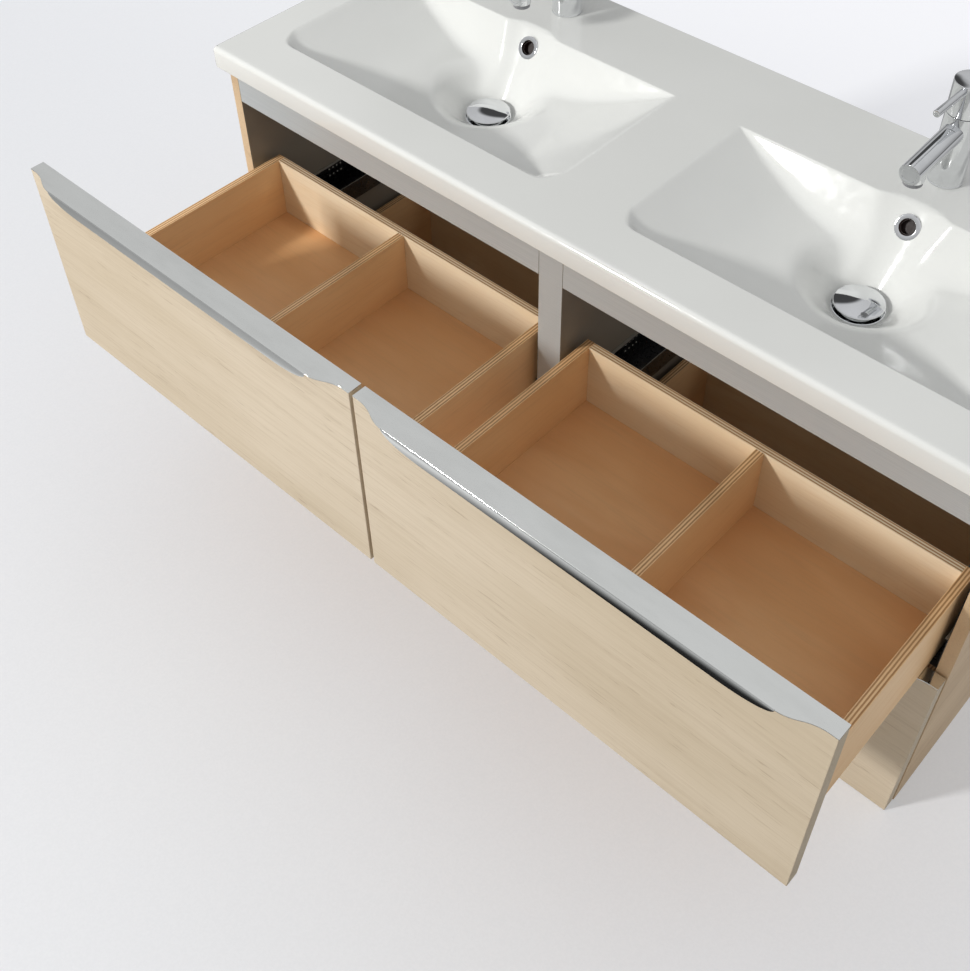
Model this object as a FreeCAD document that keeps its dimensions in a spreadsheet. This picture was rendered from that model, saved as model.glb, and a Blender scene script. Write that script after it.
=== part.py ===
"""Wall-hung double bathroom vanity: carcass, four drawers, washbasin top, wastes and mixer taps.

Frame: millimetres, +X to the right, +Z up, the wall is the plane y = 0 and the drawers open
towards -Y. The origin is the centre of the four wall screws. The two top drawers are modelled
pulled out to their stops and the two bottom drawers shut.
"""
import FreeCAD, Part
import math
import os
import re

import Sketcher

V = FreeCAD.Vector
doc = FreeCAD.newDocument("vanity")

# ---------------------------------------------------------------- driving dimensions
SIZES = {
    # carcass
    "carcass_width": 1200, "carcass_depth": 440, "carcass_height": 598, "carcass_top": 290,
    "panel": 16, "divider": 38, "front_rail_height": 59, "back_rail_height": 80,
    "cam_radius": 7.5, "cam_depth": 12.5, "cam_inset": 34, "cam_play": 0.1,
    "screw_span_x": 1000, "screw_span_z": 500, "screw_radius": 4.5,
    "screw_plate": 50, "screw_plate_metal": 2,
    # drawer fronts and their metal grip profiles
    "front_width": 596, "front_height": 294.5, "front_board": 19, "front_inset": 1.2,
    "front_drop": 5, "row_gap": 4, "bumper_gap": 2, "drawer_travel": 304, "edge_round": 0.8,
    "grip_metal": 1.2, "grip_reach": 13, "grip_lip": 17, "grip_flush": 9, "grip_blend": 50,
    "lip_start": 56, "lip_full": 116,
    # drawer boxes, in birch plywood
    "ply": 12, "box_depth": 350, "box_width": 546, "upper_box_height": 130.5,
    "lower_box_height": 197, "lower_box_lift": 21, "floor_board": 5, "floor_lift": 29,
    # concealed telescopic runners
    "runner_length": 300, "runner_setback": 4, "runner_steel": 1.5, "runner_web": 52.5,
    "runner_drop": 4.5, "runner_reach": 38, "runner_lip": 5, "runner_wall": 28,
    "trough_width": 15.8, "trough_wall": 2, "member_inset": 7.75, "foot_half": 5, "foot_lift": 2,
    "head_half": 3.8, "head_top": 21.5, "hook_half": 5.7, "hook_low": 15.5, "hook_gap": 1.6,
    # washbasin
    "basin_width": 1210, "basin_depth": 460, "basin_thick": 31.5, "basin_corner": 8,
    "basin_edge": 7, "bowl_x": 300, "bowl_wall": 10, "bowl_spread": 4, "bowl_depth": 96,
    "drain_y": -227, "drain_radius": 23, "drain_dish": 36, "overflow_y": -150,
    "overflow_depth": 25, "overflow_tilt": 34, "overflow_hole": 10.5, "ring_radius": 16.5,
    "ring_height": 3, "ring_depth": 5, "ring_wall": 1.2, "ring_play": 0.3,
    # wastes
    "waste_flange": 33, "waste_flange_metal": 2.5, "waste_barrel": 22.5, "waste_tail": 20.95,
    "waste_bore": 17, "waste_length": 70, "barrel_length": 34, "seat_lip": 2, "seat_depth": 12,
    "throat_depth": 18, "hub_wall": 3.5, "hub_length": 8, "hub_depth": 36, "spoke_width": 4,
    "spoke_height": 6, "spoke_bite": 1, "nut_height": 10, "thread_play": 0.1, "plug_gap": 5,
    "plug_rim": 2, "plug_crown": 3.5, "stem_radius": 4, "stem_length": 44, "stem_play": 0.3,
    # mixer taps
    "tap_x": 298, "tap_y": -62, "tap_radius": 21.6, "tap_body": 96, "tap_cap": 41.5,
    "tap_gap": 0.6, "tap_edge": 0.8, "shank_radius": 16.5, "shank_hole": 17.5,
    "shank_length": 58, "inlet_radius": 4.2, "inlet_depth": 20, "inlet_offset": 8,
    "washer_radius": 26.5, "washer_height": 3, "tap_nut_radius": 24.5, "tap_nut_height": 9,
    "spout_radius": 13.5, "spout_reach": 113, "spout_height": 75.5, "spout_drop": 4,
    "aerator_radius": 11.5, "aerator_wall": 1, "aerator_back": 16, "aerator_drop": 22,
    "aerator_length": 5, "boss_height": 14, "port_depth": 3, "socket_radius": 17.2,
    "socket_depth": 44, "socket_play": 0.3, "ball_radius": 16.9, "ball_lift": 5, "ball_play": 0.5,
    "trunnion_radius": 3, "trunnion_half": 19.5, "trunnion_play": 0.1, "lever_tilt": 20,
    "lever_spare": 2, "pin_radius": 4.5, "pin_reach": 83, "pin_end": 1.5, "pin_play": 0.05,
    "pin_height": 34.3, "pin_rise": 2.3,
}

sheet = doc.addObject("Spreadsheet::Sheet", "Sizes")
for row, (alias, value) in enumerate(SIZES.items(), start=1):
    sheet.set(f"A{row}", alias)
    sheet.set(f"B{row}", str(value))
    sheet.setAlias(f"B{row}", alias)
doc.recompute()


def size(alias):
    """The value of one cell, for the pieces whose shape is set in code."""
    return float(getattr(sheet, alias))


def formula(text):
    """An expression for setExpression: each alias in the text becomes its spreadsheet cell."""
    return re.sub(r"[a-z_]+", lambda m: f"Sizes.{m[0]}" if m[0] in SIZES else m[0], str(text))


# Formulas that several pieces share
CARCASS_BOTTOM = "(carcass_top - carcass_height)"
INSIDE = "(carcass_width / 2 - panel)"
INNER_EDGE = "(divider / 2)"
BAY_CENTRE = f"(({INSIDE} + {INNER_EDGE}) / 2)"
FRONT_INNER = "(carcass_width / 2 - front_inset - front_width)"
FRONT_BACK_FACE = "(-carcass_depth - bumper_gap)"
BASIN_TOP = "(carcass_top + basin_thick)"
WASTE_SEAT = f"({BASIN_TOP} - bowl_depth)"
TAP_JOINT = f"({BASIN_TOP} + tap_body)"
LEVER_AXIS = f"({TAP_JOINT} + ball_lift)"

SIDES = {"left": -1, "right": 1}
ROWS = ("top", "bottom")
nodes = []


# ---------------------------------------------------------------- helpers
def bind(thing, **formulas):
    """Bind properties of a document object; x, y and z are its Placement's base."""
    for name, text in formulas.items():
        path = f"Placement.Base.{name}" if name in ("x", "y", "z") else name
        thing.setExpression(path, formula(text))
    return thing


def primitive(kind, name, **formulas):
    """A Part primitive, such as Part::Box, with its sizes and place bound to the sheet."""
    return bind(doc.addObject(f"Part::{kind}", name), **formulas)


def node(name, thing):
    """Name a finished piece (or a group of like pieces): its Label becomes the file's name."""
    thing.Label = name
    nodes.append(thing)
    return thing


def rotate(thing, axis, degrees):
    """Turn a primitive about its own base point."""
    thing.Placement.Rotation = FreeCAD.Rotation(V(*axis), degrees)
    return thing


def fuse(name, shapes):
    joined = doc.addObject("Part::MultiFuse", name)
    joined.Shapes = shapes
    return joined


def group(name, shapes):
    together = doc.addObject("Part::Compound", name)
    together.Links = shapes
    return together


def cut(name, base, tools):
    """The base piece less one tool or several."""
    result = doc.addObject("Part::Cut", name)
    result.Base = base
    result.Tool = tools[0] if len(tools) == 1 else fuse(f"{name}_tools", tools)
    return result


def upright(name, **formulas):
    """A cylinder whose axis runs towards +Z from its base point."""
    return primitive("Cylinder", name, **formulas)


def along_y(name, **formulas):
    """A cylinder whose axis runs towards +Y from its base point."""
    return rotate(primitive("Cylinder", name, **formulas), (1, 0, 0), -90)


def origin_plane(body, role):
    return next(item for item in body.Origin.OriginFeatures if item.Role == role)


def outline(body, name, role, points):
    """A closed sketch on one of the body's origin planes, each corner bound to the sheet."""
    sketch = body.newObject("Sketcher::SketchObject", name)
    sketch.AttachmentSupport = [(origin_plane(body, role), "")]
    sketch.MapMode = "FlatFace"
    count = len(points)
    start = [V(100 * math.cos(2 * math.pi * i / count), 100 * math.sin(2 * math.pi * i / count), 0)
             for i in range(count)]
    for i in range(count):
        sketch.addGeometry(Part.LineSegment(start[i], start[(i + 1) % count]))
    for i in range(count):
        sketch.addConstraint(Sketcher.Constraint("Coincident", i, 2, (i + 1) % count, 1))
    for i, corner in enumerate(points):
        for kind, text, value in zip(("DistanceX", "DistanceY"), corner, start[i]):
            number = sketch.addConstraint(Sketcher.Constraint(kind, -1, 1, i, 1, value))
            sketch.setExpression(f"Constraints[{number}]", formula(text))
    return sketch


def extruded(name, role, points, length, reverse=False, **place):
    """A PartDesign body: a bound outline, padded."""
    body = doc.addObject("PartDesign::Body", name)
    sketch = outline(body, f"{name}_outline", role, points)
    pad = body.newObject("PartDesign::Pad", f"{name}_pad")
    pad.Profile = sketch
    pad.Reversed = reverse
    pad.setExpression("Length", formula(length))
    return bind(body, **place)


def turned(name, points, **place):
    """A PartDesign body: an outline of radius and height, turned about the body's Z axis."""
    body = doc.addObject("PartDesign::Body", name)
    sketch = outline(body, f"{name}_outline", "XZ_Plane", points)
    revolution = body.newObject("PartDesign::Revolution", f"{name}_turn")
    revolution.Profile = sketch
    revolution.ReferenceAxis = (sketch, ["V_Axis"])
    revolution.Angle = 360
    return bind(body, **place)


# ---------------------------------------------------------------- carcass
def cams(name, cylinder, places):
    """Round cam discs and the blind holes that hold them, made by upright or along_y."""
    discs, holes = [], []
    for index, place in enumerate(places):
        discs.append(cylinder(f"{name}_disc_{index}", Radius="cam_radius",
                              Height="cam_depth", **place))
        holes.append(cylinder(f"{name}_hole_{index}", Radius="cam_radius + cam_play",
                              Height="cam_depth", **place))
    return discs, holes


def build_carcass():
    discs = []
    for side, sign in SIDES.items():
        node(f"side_panel_{side}", primitive(
            "Box", f"side_{side}", Length="panel", Width="carcass_depth", Height="carcass_height",
            x=INSIDE if sign > 0 else "-carcass_width / 2", y="-carcass_depth", z=CARCASS_BOTTOM))
        rail = primitive(
            "Box", f"front_rail_board_{side}", Length=f"{INSIDE} - {INNER_EDGE}", Width="panel",
            Height="front_rail_height", x=bay_start(sign), y="-carcass_depth",
            z="carcass_top - front_rail_height")
        ends = (f"{bay_start(sign)} + cam_inset", f"{bay_end(sign)} - cam_inset")
        fittings, holes = cams(f"front_rail_cam_{side}", along_y, [
            {"x": end, "y": "-carcass_depth + panel - cam_depth",
             "z": "carcass_top - front_rail_height / 2"} for end in ends])
        discs += fittings
        node(f"front_rail_{side}", cut(f"front_rail_{side}", rail, holes))

    node("centre_divider", primitive(
        "Box", "divider_board", Length="divider", Width="carcass_depth - panel",
        Height="carcass_height - panel", x="-divider / 2", y="-carcass_depth",
        z=f"{CARCASS_BOTTOM} + panel"))

    board = primitive("Box", "bottom_board", Length=f"2 * {INSIDE}", Width="carcass_depth",
                      Height="panel", x=f"-{INSIDE}", y="-carcass_depth", z=CARCASS_BOTTOM)
    depths = ("-carcass_depth + 2 * cam_inset", "-2 * cam_inset")
    fittings, holes = cams("bottom_cam", upright, [
        {"x": f"{sign} * ({INSIDE} - cam_inset)", "y": depth, "z": CARCASS_BOTTOM}
        for sign in SIDES.values() for depth in depths])
    discs += fittings
    node("bottom_panel", cut("bottom_panel", board, holes))

    plates = []
    for level, sign_z in (("upper", 1), ("lower", -1)):
        bottom = "carcass_top - back_rail_height" if sign_z > 0 else f"{CARCASS_BOTTOM} + panel"
        rail = primitive("Box", f"{level}_rail_board", Length=f"2 * {INSIDE}", Width="panel",
                         Height="back_rail_height", x=f"-{INSIDE}", y="-panel", z=bottom)
        fittings, holes = cams(f"{level}_rail_cam", along_y, [
            {"x": f"{sign} * ({INSIDE} - cam_inset)", "y": "-panel",
             "z": f"{bottom} + back_rail_height / 2"} for sign in SIDES.values()])
        discs += fittings
        for side, sign in SIDES.items():
            centre = {"x": f"{sign} * screw_span_x / 2", "z": f"{sign_z} * screw_span_z / 2"}
            holes.append(along_y(f"{level}_screw_{side}", Radius="screw_radius", Height="panel",
                                 y="-panel", **centre))
            plate = primitive("Box", f"{level}_plate_{side}", Length="screw_plate",
                              Width="screw_plate_metal", Height="screw_plate",
                              x=f"{centre['x']} - screw_plate / 2", y="-panel - screw_plate_metal",
                              z=f"{centre['z']} - screw_plate / 2")
            bore = along_y(f"{level}_plate_hole_{side}", Radius="screw_radius",
                           Height="screw_plate_metal", y="-panel - screw_plate_metal", **centre)
            plates.append(cut(f"{level}_plate_cut_{side}", plate, [bore]))
        node(f"back_rail_{level}", cut(f"back_rail_{level}", rail, holes))
    node("wall_screw_plates", group("wall_screw_plates", plates))
    node("cam_fittings", group("cam_fittings", discs))


def bay_start(sign):
    """The low x of the space between a side panel and the divider."""
    return INNER_EDGE if sign > 0 else f"-{INSIDE}"


def bay_end(sign):
    """The high x of that space."""
    return INSIDE if sign > 0 else f"-{INNER_EDGE}"


# ---------------------------------------------------------------- drawers
def drawer_place(row):
    """A drawer's y shift from shut, and the heights of its front's bottom and box's bottom."""
    upper_bottom = "(carcass_top - front_drop - front_height)"
    if row == "top":
        return "-drawer_travel", upper_bottom, upper_bottom, "upper_box_height"
    lower_bottom = f"({upper_bottom} - row_gap - front_height)"
    return "0", lower_bottom, f"({lower_bottom} + lower_box_lift)", "lower_box_height"


def grip_shape(width):
    """Metal grip: a plate over the front's top edge whose middle swells forward, with a lip.

    Made with its low back corner at the origin, running along +X, with -Y forwards.
    """
    metal, reach, board = size("grip_metal"), size("grip_reach"), size("front_board")
    flush, blend = size("grip_flush"), size("grip_blend")
    radius = (blend ** 2 + reach ** 2) / (4 * reach)
    sweep = math.asin(blend / (2 * radius)) / 2
    side_step = V(radius * math.sin(sweep), -radius * (1 - math.cos(sweep)), 0)
    near, far = V(flush, -board, 0), V(flush + blend, -board - reach, 0)
    middle = (near + far) / 2

    def mirrored(point):
        return V(width - point.x, point.y, point.z)

    curve = [near, near + side_step, middle, far - side_step, far]
    other = [mirrored(point) for point in reversed(curve)]
    edges = [Part.LineSegment(V(0, -board, 0), curve[0])]
    edges += [Part.Arc(*curve[:3]), Part.Arc(*curve[2:])]
    edges += [Part.LineSegment(curve[-1], other[0])]
    edges += [Part.Arc(*other[:3]), Part.Arc(*other[2:])]
    edges += [Part.LineSegment(other[-1], V(width, -board, 0)),
              Part.LineSegment(V(width, -board, 0), V(width, 0, 0)),
              Part.LineSegment(V(width, 0, 0), V(0, 0, 0)),
              Part.LineSegment(V(0, 0, 0), V(0, -board, 0))]
    plate = Part.Face(Part.Wire([edge.toShape() for edge in edges])).extrude(V(0, 0, metal))

    # The lip hangs from the plate's forward edge; its lower corners are quarter ellipses.
    start, full, lip = size("lip_start"), size("lip_full"), size("grip_lip")
    top, low = 0.0, metal - lip
    front = -board - reach

    def corner(mirror):
        ellipse = Part.Ellipse(V(0, 0, 0), full - start, -low)
        ellipse.rotate(FreeCAD.Placement(V(), V(1, 0, 0), 90))
        centre = full if not mirror else width - full
        ellipse.translate(V(centre, front, 0))
        first, last = (math.pi, 1.5 * math.pi) if not mirror else (1.5 * math.pi, 2 * math.pi)
        return Part.ArcOfEllipse(ellipse, first, last)

    lip_edges = [corner(False).toShape(),
                 Part.LineSegment(V(full, front, low), V(width - full, front, low)).toShape(),
                 corner(True).toShape(),
                 Part.LineSegment(V(width - start, front, top), V(start, front, top)).toShape()]
    flap = Part.Face(Part.Wire(Part.__sortEdges__(lip_edges))).extrude(V(0, metal, 0))
    return plate.fuse(flap).removeSplitter()


def runner_outlines(sign):
    """Cross-sections of a runner's three members: x from the carcass wall, z from the box side.

    Fixed channel with its trough, I-shaped middle member, and the drawer's member that hooks
    over the middle one.
    """
    steel, outer = "runner_steel", "runner_reach"
    base, wall_top = "(-runner_drop)", "runner_wall"
    inner = "(runner_reach - trough_width)"
    channel = [("0", base), (outer, base), (outer, wall_top), (f"{outer} - {steel}", wall_top),
               (f"{outer} - {steel}", f"{base} + {steel}"), (f"{inner} + {steel}", f"{base} + {steel}"),
               (f"{inner} + {steel}", "trough_wall"), (inner, "trough_wall"),
               (inner, f"{base} + {steel}"), (steel, f"{base} + {steel}"),
               (steel, f"runner_web - {steel}"), ("runner_lip", f"runner_web - {steel}"),
               ("runner_lip", "runner_web"), ("0", "runner_web")]

    centre, web = f"({outer} - member_inset)", f"{steel} / 2"
    foot_low, head_low = f"({base} + foot_lift)", f"head_top - {steel}"
    foot_top = f"{foot_low} + {steel}"
    middle = [(f"{centre} - foot_half", foot_low), (f"{centre} + foot_half", foot_low),
              (f"{centre} + foot_half", foot_top), (f"{centre} + {web}", foot_top),
              (f"{centre} + {web}", head_low), (f"{centre} + head_half", head_low),
              (f"{centre} + head_half", "head_top"), (f"{centre} - head_half", "head_top"),
              (f"{centre} - head_half", head_low), (f"{centre} - {web}", head_low),
              (f"{centre} - {web}", foot_top), (f"{centre} - foot_half", foot_top)]

    hook_top, top = f"hook_low + {steel}", "floor_lift"
    left, right = f"{centre} - hook_half", f"{centre} + hook_half"
    drawer = [(left, "hook_low"), (f"{centre} - hook_gap", "hook_low"),
              (f"{centre} - hook_gap", hook_top), (f"{left} + {steel}", hook_top),
              (f"{left} + {steel}", f"{top} - {steel}"), (f"{right} - {steel}", f"{top} - {steel}"),
              (f"{right} - {steel}", hook_top), (f"{centre} + hook_gap", hook_top),
              (f"{centre} + hook_gap", "hook_low"), (right, "hook_low"), (right, top), (left, top)]
    return [[(f"{sign} * ({x})", z) for x, z in points] for points in (channel, middle, drawer)]


def build_runners(row, side, box_bottom, shift):
    """The two runners of one drawer; returns the two fixed channels."""
    members = {"channel": [], "middle": [], "drawer": []}
    bay = SIDES[side]
    walls = ((1, bay_start(bay)), (-1, bay_end(bay)))
    shifts = {"channel": "0", "middle": f"({shift}) / 2", "drawer": shift}
    for sign, wall in walls:
        for member, points in zip(members, runner_outlines(sign)):
            name = f"runner_{row}_{side}_{member}_{'a' if sign > 0 else 'b'}"
            members[member].append(extruded(
                name, "XZ_Plane", points, "runner_length", reverse=True, x=wall,
                y=f"-carcass_depth + runner_setback + {shifts[member]}", z=box_bottom))
    node(f"runner_middle_{row}_{side}", group(f"runner_middles_{row}_{side}", members["middle"]))
    node(f"runner_drawer_{row}_{side}", group(f"runner_drawers_{row}_{side}", members["drawer"]))
    return members["channel"]


def build_drawer(row, side):
    sign = SIDES[side]
    shift, front_bottom, box_bottom, box_height = drawer_place(row)
    tag = f"{row}_{side}"
    front_x = FRONT_INNER if sign > 0 else f"-{FRONT_INNER} - front_width"
    back_face = f"({FRONT_BACK_FACE} + {shift})"

    front = extruded(f"front_{tag}", "XZ_Plane",
                     [("0", "0"), ("front_width", "0"), ("front_width", "front_height - grip_metal"),
                      ("0", "front_height - grip_metal")],
                     "front_board", x=front_x, y=back_face, z=front_bottom)
    doc.recompute()
    board = front.Tip
    chamfer = front.newObject("PartDesign::Chamfer", f"front_edge_{tag}")
    chamfer.Base = (board, front_outer_edges(board.Shape))
    chamfer.setExpression("Size", formula("edge_round"))
    node(f"front_panel_{tag}", front)

    grip = doc.addObject("Part::Feature", f"grip_{tag}")
    grip.Shape = grip_shape(size("front_width"))
    bind(grip, x=front_x, y=back_face, z=f"{front_bottom} + front_height - grip_metal")
    node(f"handle_profile_{tag}", grip)

    box_x = f"({sign} * {BAY_CENTRE} - box_width / 2)"
    inner_width = "(box_width - 2 * ply)"
    for wall, x in (("left", box_x), ("right", f"{box_x} + box_width - ply")):
        node(f"box_side_{wall}_{tag}", primitive(
            "Box", f"box_{wall}_{tag}", Length="ply", Width="box_depth", Height=box_height,
            x=x, y=back_face, z=box_bottom))
    node(f"box_back_{tag}", primitive(
        "Box", f"box_rear_{tag}", Length=inner_width, Width="ply",
        Height=f"{box_height} - floor_lift", x=f"{box_x} + ply",
        y=f"{back_face} + box_depth - ply", z=f"{box_bottom} + floor_lift"))
    node(f"box_floor_{tag}", primitive(
        "Box", f"box_base_{tag}", Length=inner_width, Width="box_depth - ply",
        Height="floor_board", x=f"{box_x} + ply", y=back_face, z=f"{box_bottom} + floor_lift"))
    if row == "top":
        node(f"box_partition_{tag}", primitive(
            "Box", f"box_partition_board_{tag}", Length="ply", Width="box_depth - ply",
            Height=f"{box_height} - floor_lift - floor_board",
            x=f"{sign} * {BAY_CENTRE} - ply / 2", y=back_face,
            z=f"{box_bottom} + floor_lift + floor_board"))
    return build_runners(row, side, box_bottom, shift)


def front_outer_edges(shape):
    """Names of the four edges round a front panel's outer face, below the metal plate."""
    outer = shape.BoundBox.YMin
    top = shape.BoundBox.ZMax
    return [f"Edge{index}" for index, edge in enumerate(shape.Edges, start=1)
            if abs(edge.BoundBox.YMax - outer) < 1e-6 and edge.BoundBox.ZMin < top - 1e-6]


# ---------------------------------------------------------------- washbasin
# Bowl cross-sections: depth below the rim, half width, front y, back y, corner radius.
BOWL_SECTIONS = (
    (0, 250, -388, -134, 24),
    (4, 243, -385, -136, 26),
    (26, 186, -369, -151, 34),
    (50, 106, -350, -166, 40),
    (64, 74, -316, -175, 44),
    (80, 54, -284, -182, 44),
)


def rounded_wire(centre_x, half, front, back, radius, z):
    """A closed rectangle with round corners, in a level plane."""
    low, high = centre_x - half, centre_x + half
    bend = radius * (1 - math.sqrt(0.5))
    edges = [
        Part.LineSegment(V(low + radius, front, z), V(high - radius, front, z)),
        Part.Arc(V(high - radius, front, z), V(high - bend, front + bend, z), V(high, front + radius, z)),
        Part.LineSegment(V(high, front + radius, z), V(high, back - radius, z)),
        Part.Arc(V(high, back - radius, z), V(high - bend, back - bend, z), V(high - radius, back, z)),
        Part.LineSegment(V(high - radius, back, z), V(low + radius, back, z)),
        Part.Arc(V(low + radius, back, z), V(low + bend, back - bend, z), V(low, back - radius, z)),
        Part.LineSegment(V(low, back - radius, z), V(low, front + radius, z)),
        Part.Arc(V(low, front + radius, z), V(low + bend, front + bend, z), V(low + radius, front, z)),
    ]
    return Part.Wire([edge.toShape() for edge in edges])


def bowl_solid(centre_x, top, drop, spread):
    """The bowl's hollow, or with a drop and a spread the outside of its shell."""
    wires = [rounded_wire(centre_x, half + spread, front - spread, back + spread, radius + spread,
                          top - depth - drop)
             for depth, half, front, back, radius in BOWL_SECTIONS]
    drain, foot = size("drain_y"), size("drain_dish") + spread
    wires.append(rounded_wire(centre_x, foot, drain - foot, drain + foot, foot - 1,
                              top - size("bowl_depth") - drop))
    return Part.makeLoft(wires, True, True)


def overflow_frame(centre_x, top):
    """Centre and outward direction of the overflow hole on a bowl's back wall."""
    tilt = math.radians(size("overflow_tilt"))
    centre = V(centre_x, size("overflow_y"), top - size("overflow_depth"))
    return centre, V(0, -math.cos(tilt), math.sin(tilt))


def washbasin_shape():
    width, depth, thick = size("basin_width"), size("basin_depth"), size("basin_thick")
    bottom, top = size("carcass_top"), size("carcass_top") + thick
    slab = Part.makeBox(width, depth, thick, V(-width / 2, -depth, bottom))
    corners = [edge for edge in slab.Edges if edge.BoundBox.ZLength > thick - 1e-6]
    slab = slab.makeFillet(size("basin_corner"), corners)
    rim = [edge for edge in slab.Edges if edge.BoundBox.ZMin > top - 1e-6
           and edge.BoundBox.YMin < -1e-6]
    slab = slab.makeFillet(size("basin_edge"), rim)
    centres = [sign * size("bowl_x") for sign in SIDES.values()]
    shells = [bowl_solid(x, top, size("bowl_wall"), size("bowl_spread")) for x in centres]
    basin = slab.fuse(shells)
    tools = [bowl_solid(x, top, 0, 0) for x in centres]
    for x in centres:
        drain = V(x, size("drain_y"), top - 2 * size("bowl_depth"))
        tools.append(Part.makeCylinder(size("drain_radius"), size("bowl_depth") * 1.5, drain))
        centre, outward = overflow_frame(x, top)
        throat = size("ring_depth") + size("ring_height")
        tools.append(Part.makeCylinder(size("overflow_hole"), 3 * throat, centre - outward * throat,
                                       outward))
    for sign in SIDES.values():
        foot = V(sign * size("tap_x"), size("tap_y"), bottom)
        tools.append(Part.makeCylinder(size("shank_hole"), thick, foot))
    return basin.cut(tools).removeSplitter()


def overflow_ring(centre_x, top, basin):
    """A flared ring on a tube that lines the overflow; its foot follows the bowl's wall."""
    centre, outward = overflow_frame(centre_x, top)
    tube = size("overflow_hole") - size("ring_play")
    bore = tube - size("ring_wall")
    height, depth = size("ring_height"), size("ring_depth")
    flare = Part.makeCone(size("ring_radius"), tube + size("ring_wall"), height)
    ring = flare.fuse(Part.makeCylinder(tube, depth + height / 2, V(0, 0, -depth)))
    ring = ring.cut(Part.makeCylinder(bore, 3 * depth, V(0, 0, -1.5 * depth))).removeSplitter()
    ring.Placement = FreeCAD.Placement(centre, FreeCAD.Rotation(V(0, 0, 1), outward))
    return ring.cut(basin)


def build_waste(side):
    """One waste: its casting and its plug. Returns its nut."""
    place = {"x": f"{SIDES[side]} * bowl_x", "y": "drain_y"}
    seat = {"z": WASTE_SEAT, **place}
    barrel = turned(f"waste_barrel_{side}", [
        ("waste_bore", "-waste_length"), ("waste_tail", "-waste_length"),
        ("waste_tail", "-barrel_length"), ("waste_barrel", "-barrel_length"),
        ("waste_barrel", "0"), ("waste_flange", "0"), ("waste_flange", "waste_flange_metal"),
        ("waste_barrel - seat_lip", "waste_flange_metal"),
        ("waste_barrel - seat_lip", "-seat_depth"), ("waste_bore", "-throat_depth")], **seat)
    hub = upright(f"waste_hub_{side}", Radius="stem_radius + hub_wall", Height="hub_length",
                  z=f"{WASTE_SEAT} - hub_depth", **place)
    bar = primitive("Box", f"waste_bar_{side}", Length="2 * (waste_bore + spoke_bite)",
                    Width="spoke_width", Height="spoke_height",
                    x=f"{place['x']} - waste_bore - spoke_bite", y="drain_y - spoke_width / 2",
                    z=f"{WASTE_SEAT} - hub_depth + (hub_length - spoke_height) / 2")
    guide = upright(f"waste_guide_{side}", Radius="stem_radius + stem_play",
                    Height="2 * hub_length", z=f"{WASTE_SEAT} - hub_depth - hub_length / 2", **place)
    casting = fuse(f"waste_casting_{side}", [barrel, hub, bar])
    node(f"waste_body_{side}", cut(f"waste_body_{side}", casting, [guide]))

    plug_low = f"{WASTE_SEAT} + waste_flange_metal + plug_gap"
    disc = upright(f"plug_disc_{side}", Radius="waste_flange", Height="plug_rim", z=plug_low, **place)
    crown_radius = "(waste_flange ^ 2 + plug_crown ^ 2) / (2 * plug_crown)"
    ball = primitive("Sphere", f"plug_ball_{side}", Radius=crown_radius,
                     z=f"{plug_low} + plug_rim + plug_crown - {crown_radius}", **place)
    limit = upright(f"plug_limit_{side}", Radius="waste_flange", Height="2 * plug_crown",
                    z=f"{plug_low} + plug_rim", **place)
    crown = doc.addObject("Part::Common", f"plug_crown_{side}")
    crown.Base, crown.Tool = ball, limit
    stem = upright(f"plug_stem_{side}", Radius="stem_radius", Height="stem_length",
                   z=f"{plug_low} - stem_length", **place)
    node(f"waste_plug_{side}", fuse(f"waste_plug_{side}", [disc, crown, stem]))
    return hexagon_nut(f"waste_nut_{side}", "waste_flange", "waste_barrel", "nut_height",
                       z=f"{WASTE_SEAT} - bowl_wall - nut_height", **place)


def hexagon_nut(name, circumradius, thread, height, **place):
    block = primitive("Prism", f"{name}_hexagon", Polygon="6", Circumradius=circumradius,
                      Height=height, **place)
    bore = upright(f"{name}_thread", Radius=f"{thread} + thread_play", Height=height, **place)
    return cut(name, block, [bore])


def build_washbasin():
    basin = doc.addObject("Part::Feature", "washbasin")
    basin.Shape = washbasin_shape()
    node("washbasin_top", basin)
    rings = []
    for side, sign in SIDES.items():
        ring = doc.addObject("Part::Feature", f"overflow_ring_{side}")
        ring.Shape = overflow_ring(sign * size("bowl_x"),
                                   size("carcass_top") + size("basin_thick"), basin.Shape)
        rings.append(ring)
    node("overflow_rings", group("overflow_ring_pair", rings))
    node("waste_nuts", group("waste_nut_pair", [build_waste(side) for side in SIDES]))


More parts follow.
